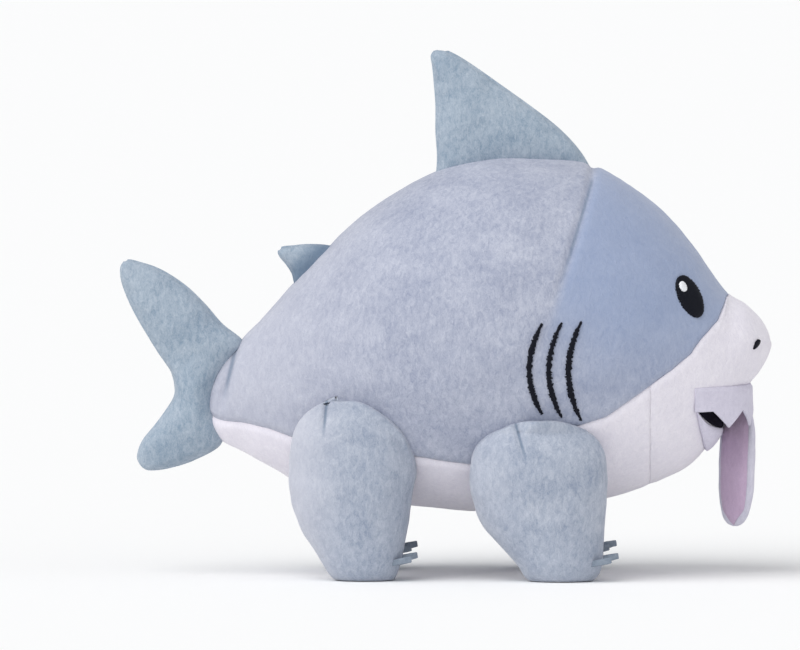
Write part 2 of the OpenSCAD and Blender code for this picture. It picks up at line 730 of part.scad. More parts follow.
leg_stuffing("hind", "left");  // hind_left_leg_stuffing
claws("hind", "left");  // hind_left_claws
leg_outer("hind", "right");  // hind_right_leg_outer
leg_inner("hind", "right");  // hind_right_leg_inner
leg_stuffing("hind", "right");  // hind_right_leg_stuffing
claws("hind", "right");  // hind_right_claws
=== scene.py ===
# %% [markdown]
# # A plush shark
# This toy is sewn from short-pile cloth, stuffed with loose fibre, and finished with felt and
# embroidery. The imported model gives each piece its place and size. Everything seen here is cloth,
# felt, thread or fibre that is built around it in mesh code.

# %% Load the frame
import json
import math

import bmesh
import bpy
import numpy as np
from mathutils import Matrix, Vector, noise


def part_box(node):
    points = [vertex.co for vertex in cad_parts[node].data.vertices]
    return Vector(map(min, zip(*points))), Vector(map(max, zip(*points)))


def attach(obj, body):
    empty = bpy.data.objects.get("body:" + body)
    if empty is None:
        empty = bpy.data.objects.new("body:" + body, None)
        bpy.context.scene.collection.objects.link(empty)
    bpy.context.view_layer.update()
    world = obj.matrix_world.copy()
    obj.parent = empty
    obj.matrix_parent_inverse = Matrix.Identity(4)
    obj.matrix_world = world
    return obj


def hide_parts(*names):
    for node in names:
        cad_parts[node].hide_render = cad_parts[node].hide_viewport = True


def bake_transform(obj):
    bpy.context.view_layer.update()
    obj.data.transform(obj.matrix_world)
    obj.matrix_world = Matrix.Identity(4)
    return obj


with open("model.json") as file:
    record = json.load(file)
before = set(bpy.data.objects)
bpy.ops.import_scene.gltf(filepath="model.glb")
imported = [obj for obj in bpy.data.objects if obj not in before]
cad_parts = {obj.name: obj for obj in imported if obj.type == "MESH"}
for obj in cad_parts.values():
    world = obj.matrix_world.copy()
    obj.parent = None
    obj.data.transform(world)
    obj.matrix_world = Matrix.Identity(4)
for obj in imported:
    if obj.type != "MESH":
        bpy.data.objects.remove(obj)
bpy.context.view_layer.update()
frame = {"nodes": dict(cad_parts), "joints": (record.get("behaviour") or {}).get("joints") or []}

# %% [markdown]
# ## Working in millimetres
# Cloth, thread and pile are small, so the shapes are worked out in millimetres, and each mesh is
# turned into metres once, when it is made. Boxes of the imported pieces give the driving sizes, and
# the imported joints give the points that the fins, the tail, the legs and the tongue turn about.

# %% Millimetres, boxes and pivots
MM = 0.001


def box_mm(node):
    low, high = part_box(node)
    return np.array(low) / MM, np.array(high) / MM


back_low, back_high = box_mm("back_panel_left")
rear_x = back_low[0]
body_length = box_mm("muzzle_panel_left")[1][0] - rear_x
body_width = 2 * back_high[1]
body_base = box_mm("belly_panel")[0][2]
body_height = back_high[2] - body_base
print("body", round(body_length), "x", round(body_width), "x", round(body_height), "mm")

joints = {joint["child"]: joint for joint in frame["joints"]}
pivots = {child: np.array(joint["pos_m"]) / MM for child, joint in joints.items()}
print("the moving parts are", ", ".join(joints))

# %% [markdown]
# ## Smooth curves
# A pattern cutter draws a shape through a few marks. Here the marks are rows of a table, and a
# Catmull-Rom curve runs through them. It takes whole arrays, so one call gives a whole grid.


# %% Curves through marks
def along(marks, u):
    """Places on the curve through marks; u is 0 at the first mark and 1 at the second."""
    marks = np.asarray(marks, float)
    u = np.asarray(u, float)
    last = len(marks) - 1
    i = np.clip(np.floor(u).astype(int), 0, last - 1)
    t = (u - i).reshape(u.shape + (1,) * (marks.ndim - 1))
    a, b = marks[np.maximum(i - 1, 0)], marks[i]
    c, d = marks[i + 1], marks[np.minimum(i + 2, last)]
    m, n = (c - a) / 2, (d - b) / 2
    return b + m * t + (3 * (c - b) - 2 * m - n) * t ** 2 + (2 * (b - c) + m + n) * t ** 3


def smooth(x, low, high):
    """0 below low, 1 above high, and an even ramp between."""
    t = np.clip((x - low) / (high - low), 0, 1)
    return t * t * (3 - 2 * t)


def dent(distance, depth, width):
    """A soft groove, as deep as depth where distance is 0."""
    return -depth * np.exp(-(distance / width) ** 2)


def net(rows, columns):
    """Two grids that give, at each crossing, its value down the rows and across the columns."""
    return np.meshgrid(rows, columns, indexing="ij")


# %% [markdown]
# ## From a grid of points to cloth
# Cloth has two faces and an edge. Each panel is an outer grid and an inner grid a cloth's
# thickness below it, joined round the border, so that it is a closed solid and not a bare surface.


# %% Meshes from grids
def quads(rows, columns, start=0, flip=False):
    """Four-sided faces between the points of a grid."""
    i, j = np.meshgrid(np.arange(rows - 1), np.arange(columns - 1), indexing="ij")
    a = (start + i * columns + j).ravel()
    faces = np.stack([a, a + 1, a + columns + 1, a + columns], 1)
    return faces[:, ::-1] if flip else faces


def border(rows, columns):
    """The numbers of the points round the edge of a grid, in order."""
    across, down = np.arange(columns), np.arange(rows) * columns
    return np.concatenate([across[:-1], down[:-1] + columns - 1,
                           (rows - 1) * columns + across[:0:-1], down[:0:-1]])


def new_piece(name, points, faces, material, weld=0.004):
    """A mesh object from points in millimetres. Points closer than weld become one."""
    mesh = bpy.data.meshes.new(name)
    mesh.from_pydata([tuple(p) for p in np.asarray(points) * MM], [], [tuple(f) for f in faces])
    edit = bmesh.new()
    edit.from_mesh(mesh)
    bmesh.ops.remove_doubles(edit, verts=edit.verts, dist=weld * MM)
    bmesh.ops.dissolve_degenerate(edit, dist=weld * MM * 0.5, edges=edit.edges)
    bmesh.ops.recalc_face_normals(edit, faces=edit.faces)
    for face in edit.faces:
        face.smooth = True
    edit.to_mesh(mesh)
    edit.free()
    piece = bpy.data.objects.new(name, mesh)
    bpy.context.scene.collection.objects.link(piece)
    mesh.materials.append(material)
    return piece


def cloth_piece(name, outer, inner, material):
    """A closed shell between an outer and an inner grid of points."""
    rows, columns = outer.shape[:2]
    count = rows * columns
    rim = border(rows, columns)
    after = np.roll(rim, -1)
    edge = np.stack([rim, rim + count, after + count, after], 1)
    faces = np.concatenate([quads(rows, columns), quads(rows, columns, count, True), edge])
    points = np.concatenate([outer.reshape(-1, 3), inner.reshape(-1, 3)])
    return new_piece(name, points, faces, material)


def normals_of(grid, outward):
    """Unit normals of a grid, turned so that they point along outward on the whole."""
    n = np.cross(np.gradient(grid, axis=0), np.gradient(grid, axis=1))
    n /= np.linalg.norm(n, axis=2, keepdims=True) + 1e-9
    return n if (n * outward).sum() > 0 else -n


def noise_at(points, scale, seed=0.0, stretch=(1, 1, 1)):
    """Smooth noise from -1 to 1 at points in millimetres; scale is the size of one lump."""
    shift = Vector((seed * 7.3, seed * 3.1, seed * 5.7))
    flat = points.reshape(-1, 3) / (np.array(stretch) * scale)
    values = [noise.noise(Vector(p) + shift) for p in flat]
    return np.array(values).reshape(points.shape[:-1])


def run_length(grid, axis):
    """How far each point is along its row or column, in millimetres."""
    steps = np.linalg.norm(np.diff(grid, axis=axis), axis=2)
    start = np.zeros_like(np.take(steps, [0], axis=axis))
    return np.concatenate([start, np.cumsum(steps, axis=axis)], axis=axis)


# %% [markdown]
# ## Shader sums as plain Python
# A material here is arithmetic on noise. `Wire` wraps the output of a shader node, so that
# `0.5 + 0.3 * lumps` adds the Math nodes by itself. Every other kind of node comes from `node`.


# %% Wires
class Wire:
    def __init__(self, tree, socket):
        self.tree = tree
        self.socket = socket

    def node(self, kind, inputs=None, out=0, **settings):
        """A new shader node; its settings come first, then the values or wires of its sockets."""
        made = self.tree.nodes.new("ShaderNode" + kind)
        stops = settings.pop("stops", None)
        for key, value in settings.items():
            setattr(made, key, value)
        if stops:
            ramp = made.color_ramp.elements
            while len(ramp) < len(stops):
                ramp.new(0.5)
            for element, (place, colour) in zip(ramp, stops):
                element.position = place
                element.color = (*colour, 1)
        for key, value in (inputs or {}).items():
            if isinstance(value, Wire):
                self.tree.links.new(value.socket, made.inputs[key])
            else:
                made.inputs[key].default_value = value
        return Wire(self.tree, made.outputs[out])

    def output(self, number):
        """Another output of the same node."""
        return Wire(self.tree, self.socket.node.outputs[number])

    def maths(self, operation, a, b=0.0):
        return self.node("Math", {0: a, 1: b}, operation=operation)

    def __add__(self, other):
        return self.maths("ADD", self, other)

    def __sub__(self, other):
        return self.maths("SUBTRACT", self, other)

    def __rsub__(self, other):
        return self.maths("SUBTRACT", other, self)

    def __mul__(self, other):
        return self.maths("MULTIPLY", self, other)

    def ramp(self, low, high):
        """0 where this is below low, 1 above high, and smooth between."""
        return self.node("MapRange", {0: self, 1: low, 2: high, 3: 0.0, 4: 1.0},
                         interpolation_type="SMOOTHSTEP")

    def mix(self, a, b):
        """Colour a where this is 0 and colour b where it is 1."""
        return self.node("Mix", {0: self, 6: a, 7: b}, out=2, data_type="RGBA")

    __radd__ = __add__
    __rmul__ = __mul__


def colour(red, green, blue):
    """A colour from the 0 to 255 values that a screen shows."""
    def linear(c):
        c /= 255
        return c / 12.92 if c <= 0.04045 else ((c + 0.055) / 1.055) ** 2.4
    return (linear(red), linear(green), linear(blue), 1)


def start_material(name, **constants):
    """A material, its shader, and a wire that gives places on the piece in millimetres."""
    material = bpy.data.materials.new(name)
    material.use_nodes = True
    tree = material.node_tree
    shader = tree.nodes["Principled BSDF"]
    for key, value in constants.items():
        shader.inputs[key.replace("_", " ")].default_value = value
    first = Wire(tree, None)
    place = first.node("TexCoord", out="Object")
    place = place.node("VectorMath", {0: place, "Scale": 1 / MM}, operation="SCALE")
    return material, shader, place


def plug(shader, **wires):
    for key, wire in wires.items():
        wire.tree.links.new(wire.socket, shader.inputs[key.replace("_", " ")])


def relief(height, strength, depth):
    """A Bump whose hills are about `depth` millimetres high."""
    return height.node("Bump", {"Height": height, "Strength": strength, "Distance": depth * MM})


def grain(place, size, detail=2.0, stretch=(1, 1, 1), rough=0.5, warp=0.0):
    """Noise whose lumps are about `size` millimetres across."""
    scaled = place.node("VectorMath", {0: place, 1: tuple(1 / (size * s) for s in stretch)},
                        operation="MULTIPLY")
    return scaled.node("TexNoise", {"Vector": scaled, "Scale": 1.0, "Detail": detail,
                                    "Roughness": rough, "Distortion": warp}, out=0)


# %% [markdown]
# ## Pile cloth
# The shark's cloth is a short brushed pile, like a cut velour. Its fibres lie over in patches, so
# the same dye looks light where they lean away from the light and deeper where they lean to it.
# Three sizes of noise make that: broad patches, small tufts, and single fibres. Sheen gives the
# bright edge of a pile, and the tufts and fibres also go to a Bump.


# %% Pile
def pile(name, light, deep, tint=None, contrast=1.0):
    material, shader, place = start_material(
        name, Sheen_Weight=0.35, Sheen_Roughness=0.45, Specular_IOR_Level=0.12)
    shader.inputs["Sheen Tint"].default_value = (1, 0.98, 0.98, 1)
    patches = grain(place, 17, detail=2, stretch=(1.3, 1.3, 0.8), warp=0.4)
    tufts = grain(place, 2.6, detail=3, stretch=(0.8, 0.8, 1.5), rough=0.6, warp=0.7)
    fibres = grain(place, 0.55, detail=2, stretch=(0.8, 0.8, 1.5), rough=0.6)
    shade = 0.5 + contrast * (0.9 * (patches - 0.5) + 1.5 * (tufts - 0.5) + 1.1 * (fibres - 0.5))
    base = shade.mix(deep, light)
    # The tint adds the head's tone, and painted light and painted shade, by a point's place
    if tint:
        base = tint(place, base)
    plug(shader, Base_Color=base, Roughness=0.8 + 0.2 * fibres)
    plug(shader, Normal=relief(0.65 * tufts + 0.35 * fibres, 0.55, 0.9))
    return material


# %% [markdown]
# The back is cut so that its pile changes direction at the dart behind the head, which makes the
# head look a deeper, bluer shade. Towards the tail, and at the back of each leg, the pile is
# painted paler: painted light, as from the key lamp on the upper left. Painted shade lies in the
# dart, beside the tail, in the thigh tucks and at the foot of the rear fin, where the creases hold
# shadow. A tint function for each kind of panel gives all this from a point's place on the toy.

# %% Blue and white pile
HEAD = colour(147, 163, 195)
# Painted light: the pale colour painted towards the tail and on the back of each leg, as lit from the
# left
PAINTED_LIGHT_PALE = colour(204, 204, 214)
# Painted shade: the deep colour painted into the dart, the tail fold, the thigh tucks and the foot of
# the rear fin
PAINTED_SHADE_DEEP = colour(96, 118, 142)
DART_FOOT_X = 50.0
dart_foot_z = body_base + 0.61 * body_height
DART_SLOPE = 0.30     # how far the dart leans forward for each millimetre that it rises
DART_SHADE = ((67, 182), (51, 132))               # the top and the foot of each line of painted shade
FOLD_SHADE = ((-96, 108), (-103, 78))
TUCK_SHADES = (((-54.5, 84), (-56.5, 64)), ((32, 73), (37.5, 54)))
rear_root_x, rear_root_z = pivots["rear_fin"][[0, 2]]
slope_axis = joints["rear_fin"]["axis"]
lean = math.atan2(slope_axis[2], slope_axis[0])
fin_back = np.array([-math.cos(lean), -math.sin(lean)])     # down the slope of the back
fin_up = np.array([-math.sin(lean), math.cos(lean)])        # straight out of the back


def near_line(x, z, top, foot, width):
    """1 on a steep line from top to foot, and 0 a width away from it."""
    lean = (foot[0] - top[0]) / (foot[1] - top[1])
    off = (x - top[0]) - lean * (z - top[1])
    off = off.maths("ABSOLUTE", off)
    fade = z.ramp(foot[1], foot[1] + 0.5 * (top[1] - foot[1])) * (1 - z.ramp(top[1], top[1] + 2))
    return (1 - off.ramp(0.2, width)) * fade


def head_tone_and_painted_light(place, base):
    """The head's deeper tone, painted light on the pale rear, and painted shade in the dart and the
    tail fold.
    """
    x = place.node("SeparateXYZ", {0: place})
    z = x.output(2)
    past_dart = x - (DART_FOOT_X - DART_SLOPE * dart_foot_z) - DART_SLOPE * z
    upper = z.ramp(dart_foot_z - 45, dart_foot_z + 15)
    head = past_dart.ramp(-10, 34) * (1 - upper) + past_dart.ramp(-2, 5) * upper
    # Painted light: the rear is painted paler towards the tail
    rear = 1 - x.ramp(-105, -10)
    head = head * (0.2 + 0.8 * z.ramp(74, 130))
    shaded = (0.72 * head).mix(base, HEAD)
    # Painted shade in the tail fold and along the dart, where the creases hold shadow
    fold = near_line(x, z, *FOLD_SHADE, 1.6)
    seam = near_line(x, z, *DART_SHADE, 1.2)
    return (0.6 * fold + 0.4 * seam).mix((0.45 * rear).mix(shaded, PAINTED_LIGHT_PALE), PAINTED_SHADE_DEEP)


def leg_painted_light_and_shade(place, base):
    """Painted light on the back of each leg, which is painted paler, and painted shade in its thigh
    tuck.
    """
    x = place.node("SeparateXYZ", {0: place})
    # Painted light: paler towards the back of each leg
    behind = (1 - x.ramp(-74, -40)) + 0.3 * x.ramp(-4, 4) * (1 - x.ramp(12, 44))
    z = x.output(2)
    # Painted shade in each thigh tuck
    hind, front = (near_line(x, z, *shade, 1.1) for shade in TUCK_SHADES)
    return (0.6 * (hind + front)).mix((0.6 * behind).mix(base, PAINTED_LIGHT_PALE), PAINTED_SHADE_DEEP)


def fin_root_painted_shade(place, base):
    """Painted shade: the pile is painted deeper where the rear fin meets the back, as shade in the
    seam.
    """
    x = place.node("SeparateXYZ", {0: place})
    off_root = (x - rear_root_x) * fin_up[0] + (x.output(2) - rear_root_z) * fin_up[1]
    at_rear_fin = x.ramp(-92, -90) * (1 - x.ramp(-40, -38))
    return (0.75 * at_rear_fin * (1 - off_root.ramp(0, 9))).mix(base, PAINTED_SHADE_DEEP)


body_blue = pile("body_blue_pile", colour(190, 194, 208), colour(146, 153, 175), head_tone_and_painted_light)
fin_blue = pile("fin_blue_pile", colour(180, 191, 203), colour(130, 149, 168), fin_root_painted_shade)
leg_blue = pile("leg_blue_pile", colour(190, 196, 208), colour(142, 153, 173), leg_painted_light_and_shade)
white_pile = pile("white_pile", colour(242, 238, 245), colour(222, 218, 229), contrast=0.7)
lilac_pile = pile("lilac_pile", colour(222, 220, 232), colour(196, 193, 210), contrast=0.7)
pink_pile = pile("pink_pile", colour(208, 186, 210), colour(184, 160, 188), contrast=0.7)
print("pile materials made")


# %% [markdown]
# ## Felt, thread and fill
# Felt is pressed fibre with no weave, so its noise is warped and fine. Thread gets its look from
# real strands, and needs only a soft shine. The fill is white and fluffy.


# %% Felt, thread, fill and label
def felt(name, light, deep, sheen=0.1):
    material, shader, place = start_material(name, Sheen_Weight=sheen, Specular_IOR_Level=0.1)
    clouds = grain(place, 3.5, detail=3, warp=1.2)
    fibres = grain(place, 0.35, detail=3, rough=0.7, warp=1.6)
    shade = 0.5 + 0.8 * (clouds - 0.5) + 1.4 * (fibres - 0.5)
    plug(shader, Base_Color=shade.mix(deep, light), Roughness=0.85 + 0.15 * fibres)
    plug(shader, Normal=relief(fibres, 0.4, 0.25))
    return material


def thread(name, light, deep, shine=0.3):
    material, shader, place = start_material(name, Specular_IOR_Level=shine)
    twist = grain(place, 0.3, detail=1)
    plug(shader, Base_Color=twist.mix(deep, light), Roughness=0.38 + 0.2 * twist)
    return material


def fibre_fill(name):
    material, shader, place = start_material(name, Sheen_Weight=0.3, Specular_IOR_Level=0.1)
    strands = grain(place, 1.2, detail=4, stretch=(3, 1, 1), rough=0.7, warp=2.5)
    plug(shader, Base_Color=strands.mix(colour(224, 226, 230), colour(252, 252, 253)),
         Roughness=0.9 + 0.1 * strands)
    plug(shader, Normal=relief(strands, 0.8, 1.5))
    return material


def woven_ribbon(name):
    material, shader, place = start_material(name, Sheen_Weight=0.1, Specular_IOR_Level=0.3)
    warp = place.node("TexWave", {"Vector": place, "Scale": 0.55, "Distortion": 0.3},
                      out=1, bands_direction="X")
    weft = place.node("TexWave", {"Vector": place, "Scale": 0.8, "Distortion": 0.3},
                      out=1, bands_direction="Z")
    weave = 0.5 * warp + 0.5 * weft
    plug(shader, Base_Color=weave.mix(colour(214, 214, 212), colour(246, 246, 244)),
         Roughness=0.55 + 0.2 * weave)
    plug(shader, Normal=relief(weave, 0.4, 0.15))
    return material


lip_felt = felt("lip_felt", colour(228, 224, 238), colour(198, 194, 212))
black_felt = felt("black_felt", colour(20, 16, 32), colour(8, 5, 16), sheen=0.0)
claw_felt = felt("claw_felt", colour(158, 168, 180), colour(116, 128, 144))
black_thread = thread("black_thread", colour(14, 18, 33), colour(4, 6, 15), 0.15)
white_thread = thread("white_thread", colour(252, 252, 254), colour(226, 228, 236))
fill = fibre_fill("fibre_fill")
ribbon = woven_ribbon("label_ribbon")
print("felt, thread and fill materials made")

# %% [markdown]
# ## The body's form
# The stuffed body is a plump ellipse at every station from tail to nose. The table gives, as
# shares of the body's own sizes, where each station is, its back, its belly and its half width.

# %% Body stations
OUTLINE = np.array([
    [0.000, 0.309, 0.289, 0.010], [0.006, 0.357, 0.247, 0.075], [0.017, 0.399, 0.216, 0.127],
    [0.036, 0.445, 0.192, 0.179], [0.067, 0.497, 0.168, 0.246], [0.109, 0.561, 0.128, 0.343],
    [0.178, 0.684, 0.070, 0.515], [0.286, 0.846, 0.030, 0.761], [0.424, 0.968, 0.009, 0.933],
    [0.555, 1.000, 0.000, 1.000], [0.685, 0.973, 0.030, 0.940], [0.785, 0.878, 0.079, 0.799],
    [0.858, 0.756, 0.137, 0.634], [0.916, 0.625, 0.250, 0.470], [0.954, 0.582, 0.345, 0.351],
    [0.979, 0.545, 0.394, 0.224], [0.994, 0.505, 0.436, 0.104], [1.000, 0.474, 0.466, 0.006]])
LAST = len(OUTLINE) - 1
MUZZLE_TOP = 13.2     # the station where the blue ends on the head
BELLY_END = 11.0      # the station of the seam between belly and muzzle
SEAM = np.array([[0, -30], [5, -29], [7, -38], [8, -44], [8.5, -46], [9, -39], [9.7, -31],
                 [10.2, -28], [10.8, -19], [11.5, -7.5], [12, 2], [12.5, 19], [12.8, 32], [13, 52],
                 [MUZZLE_TOP, 90]])


def station(u):
    """x, middle height, half height and half width at station u, in millimetres."""
    s = along(OUTLINE, np.clip(u, 0, LAST))
    return (rear_x + s[..., 0] * body_length,
            body_base + body_height * (s[..., 1] + s[..., 2]) / 2,
            body_height * (s[..., 1] - s[..., 2]) / 2,
            body_width / 2 * s[..., 3])


fine_u = np.linspace(0, LAST, 1200)
fine_x, fine_middle, fine_half, fine_width = station(fine_u)


def flank(x, z):
    """How far the body's side stands out at (x, z), or 0 off the body."""
    s = (z - np.interp(x, fine_x, fine_middle)) / np.interp(x, fine_x, fine_half)
    return np.interp(x, fine_x, fine_width) * np.sqrt(np.clip(1 - s * s, 0, 1))


def on_flank(x, z, out):
    """Points on the left flank at (x, z), moved out along the body's normal."""
    d = 0.4
    dx = (flank(x + d, z) - flank(x - d, z)) / (2 * d)
    dz = (flank(x, z + d) - flank(x, z - d)) / (2 * d)
    n = np.stack([-dx, np.ones_like(dx), -dz], -1)
    n /= np.linalg.norm(n, axis=-1, keepdims=True)
    return np.stack([x, flank(x, z), z], -1) + n * np.asarray(out)[..., None], n


def seam_angle(u):
    """The angle round the body of the seam between the back and the belly."""
    return np.interp(u, SEAM[:, 0], SEAM[:, 1])


def side_sign(side):
    return 1 if side == "left" else -1


def mirrored(points, side):
    return points * np.array([1, side_sign(side), 1])


# %% [markdown]
# The mouth is open: under the toothed lip the muzzle goes in by a few millimetres. Places in the
# mouth are told by `s`, across from corner to corner, and `level`, up from the lower lip.

# %% Mouth recess
MOUTH_ANGLE = 62.0    # degrees round the muzzle from its underside to a corner of the mouth
MOUTH_DEPTH = 4.5     # how far the cloth goes in


def mouth_low(s):
    return 12.95 - 0.78 * s * s


def mouth_high(s):
    return 14.45 - 1.75 * s * s


def recess(u, angle):
    """How far the cloth goes in at station u and angle, for the open mouth."""
    s = np.clip((angle + 90) / MOUTH_ANGLE, 0, 1)
    level = (u - mouth_low(s)) / np.maximum(mouth_high(s) - mouth_low(s), 0.15)
    inside = smooth(level, -0.12, 0.35) * (1 - smooth(level, 0.6, 0.92))
    return MOUTH_DEPTH * inside * (1 - smooth(s, 0.6, 1.0))


def body_point(u, angle):
    """A point of the body's surface at station u and an angle round it, in degrees."""
    x, middle, half, width = station(u)
    turn = np.radians(angle)
    point = np.stack([x, width * np.cos(turn), middle + half * np.sin(turn)], -1)
    inward = np.stack([np.full_like(x, 0.9), -0.3 * np.cos(turn), np.full_like(x, 0.35)], -1)
    inward[..., 0] *= -1
    return point + inward * recess(u, angle)[..., None]


def even_stations(low, high, count):
    """Stations spaced evenly along the cloth, from the one at low to the one at high."""
    u = np.linspace(low, high, 600)
    x, middle, half, width = station(u)
    run = np.concatenate([[0], np.cumsum(np.hypot(np.diff(x), np.diff(middle + half)))])
    return np.interp(np.linspace(0, run[-1], count), run, u)


# %% [markdown]
# ## Seams, darts and puckers
# A seam pulls the cloth in to a narrow groove, and the cloth beside it puffs up and puckers a
# little where the stitches gather it. A dart is a short seam that fades out. Lumps of fill push
# the cloth out here and there.


# %% Sewing effects
def seam_pull(distance, run, seed=0.0, depth=0.9, width=1.5):
    """How cloth sinks at a seam; distance is from the seam and run is along it."""
    wobble = np.array([noise.noise(Vector((r / 9 + seed * 5, seed, 0))) for r in run.ravel()])
    pucker = np.sin(run / 1.9 + 2.2 * wobble.reshape(run.shape)) * np.exp(-distance / 3.2)
    return dent(distance, depth, width) + 0.16 * np.exp(-((distance - 4) / 2.6) ** 2) + 0.05 * pucker


def line_distance(x, z, line):
    """Distance from (x, z) to a line of points, and how far along it the nearest place is."""
    line = np.asarray(line, float)
    best = np.full(x.shape, 1e9)
    share = np.zeros(x.shape)
    for k in range(len(line) - 1):
        (ax, az), (bx, bz) = line[k], line[k + 1]
        long = (bx - ax) ** 2 + (bz - az) ** 2
        t = np.clip(((x - ax) * (bx - ax) + (z - az) * (bz - az)) / long, 0, 1)
        d = np.hypot(x - ax - t * (bx - ax), z - az - t * (bz - az))
        share = np.where(d < best, (k + t) / (len(line) - 1), share)
        best = np.minimum(best, d)
    return best, share


def lumps(points, size=27.0, height=0.75):
    """The unevenness of loose fill under cloth, and the tufts of the pile."""
    broad = noise_at(points, size, 1)
    small = noise_at(points, size * 0.42, 4)
    tufts = noise_at(points, 3.4, 6, (0.8, 0.8, 1.4))
    return height * broad + 0.3 * height * small + 0.09 * tufts


# %% [markdown]
# ## The body's cover
# Two blue back panels meet along the spine, a white belly panel runs underneath, and two white
# muzzle panels make the face. Each is its own shell of cloth whose edges sink into the seams.

# %% Back panels
CLOTH = 1.3           # the thickness of the cloth
DART = [(68, 189), (66.5, 180), (60.6, 160), (55.5, 145), (51, 132), (49.6, 126)]
TAIL_FOLD = [(-96, 108), (-100.5, 96), (-103, 84), (-103, 76)]


def declare(nodes, slot):
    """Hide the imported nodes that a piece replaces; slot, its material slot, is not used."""
    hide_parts(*nodes)


def panel(name, node, side, u, angles, effects, material, slot):
    """One panel of the body's cover, from its stations and the angles at each."""
    u = np.repeat(u[:, None], angles.shape[1], 1)
    grid = mirrored(body_point(u, angles), side)
    out = normals_of(grid, grid - np.array([20.0, 0, grid[..., 2].mean()]))
    push = lumps(grid) + effects(grid, u)
    outer = grid + out * push[..., None]
    piece = cloth_piece(name, outer, outer - out * CLOTH, material)
    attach(piece, "torso")
    declare([node], slot)


def back_effects(grid, u):
    x, z = grid[..., 0], grid[..., 2]
    down, over = run_length(grid, 1), run_length(grid, 0)
    low_seam = seam_pull(down, over, 1)
    spine = seam_pull(down[:, -1:] - down, over, 2, depth=0.7)
    gap, share = line_distance(x, z, DART)
    fade = 1 - smooth(share, 0.45, 1.0)
    dart = fade * seam_pull(gap, z * 1.5, 3, depth=1.5, width=1.7)
    fold, place = line_distance(x, z, TAIL_FOLD)
    crease = dent(fold, 2.6, 1.7) * np.sin(math.pi * np.clip(place * 0.9 + 0.1, 0, 1))
    front = smooth(13.2 - u, 0, 0.35)
    step_x, step_z = x - rear_root_x, z - rear_root_z
    beside = np.abs(step_x * fin_up[0] + step_z * fin_up[1]) + np.abs(grid[..., 1]) * 0.3
    off_end = np.abs(step_x * fin_back[0] + step_z * fin_back[1])
    rear_seam = dent(beside, 1.2, 2.2) * (1 - smooth(off_end, 10, 14))
    return low_seam + spine * front + dart + crease + rear_seam


back_u = even_stations(0, MUZZLE_TOP, 200)
back_seam = seam_angle(back_u)[:, None]
back_angles = back_seam + (90 - back_seam) * np.linspace(0, 1, 96)
for side in ("left", "right"):
    panel("back_cloth_" + side, "back_panel_" + side, side, back_u, back_angles, back_effects,
          body_blue, "blue_pile")
print("back panels made")

# %% [markdown]
# The belly panel spans both sides in one piece, so its angles run from the right seam, under the
# toy, to the left one. The muzzle's two panels share a seam under the chin, which fades out before
# the mouth, and another over the nose, which fades out at its tip.


# %% Belly and muzzle panels
def belly_effects(grid, u):
    across, over = run_length(grid, 1), run_length(grid, 0)
    edge = np.minimum(across, across[:, -1:] - across)
    front = over[-1:, :] - over
    return seam_pull(edge, over, 4) + seam_pull(front, across, 5, depth=0.15)


def muzzle_effects(grid, u):
    across, over = run_length(grid, 1), run_length(grid, 0)
    chin = seam_pull(across, over, 6, depth=0.3) * (1 - smooth(u, 12.4, 13.2))
    top = seam_pull(across[:, -1:] - across, over, 7, depth=0.5)
    rear = seam_pull(over, across, 8, depth=0.15)
    return chin + top * (1 - smooth(u, 16, 17)) + rear


belly_u = even_stations(0, BELLY_END, 130)
belly_half = -90 + (seam_angle(belly_u)[:, None] + 90) * np.linspace(0, 1, 46)
belly_angles = np.concatenate([-180 - belly_half[:, :0:-1], belly_half], 1)
panel("belly_cloth", "belly_panel", "left", belly_u, belly_angles, belly_effects, white_pile,
      "white_pile")

muzzle_u = even_stations(BELLY_END, LAST, 100)
muzzle_seam = np.where(muzzle_u < MUZZLE_TOP, seam_angle(muzzle_u), 90)
muzzle_angles = -90 + (muzzle_seam[:, None] + 90) * np.linspace(0, 1, 80)
for side in ("left", "right"):
    panel("muzzle_cloth_" + side, "muzzle_panel_" + side, side, muzzle_u, muzzle_angles,
          muzzle_effects, white_pile, "white_pile")
print("belly and muzzle made")

# %% [markdown]
# ## Filling a panel like a pillow
# Loose fill presses a sewn panel outwards, and the seams hold its border. Blender's Cloth does
# just that: the border is pinned, the cloth grows by about a hundredth so that it has slack to
# wrinkle, and pressure fills it. The simulated points are read back into the same grid, so that
# seams and pile can still be added along the rows. It works at ten times real size, where Cloth
# is steadier, and no point may move further than a cap.

# %% The filling helper
SIM_SCALE = 0.01      # metres in the simulation for each millimetre
SIM_FRAMES = 20
EVENING_PASSES = 4    # how often the filled shape is evened out along its rows


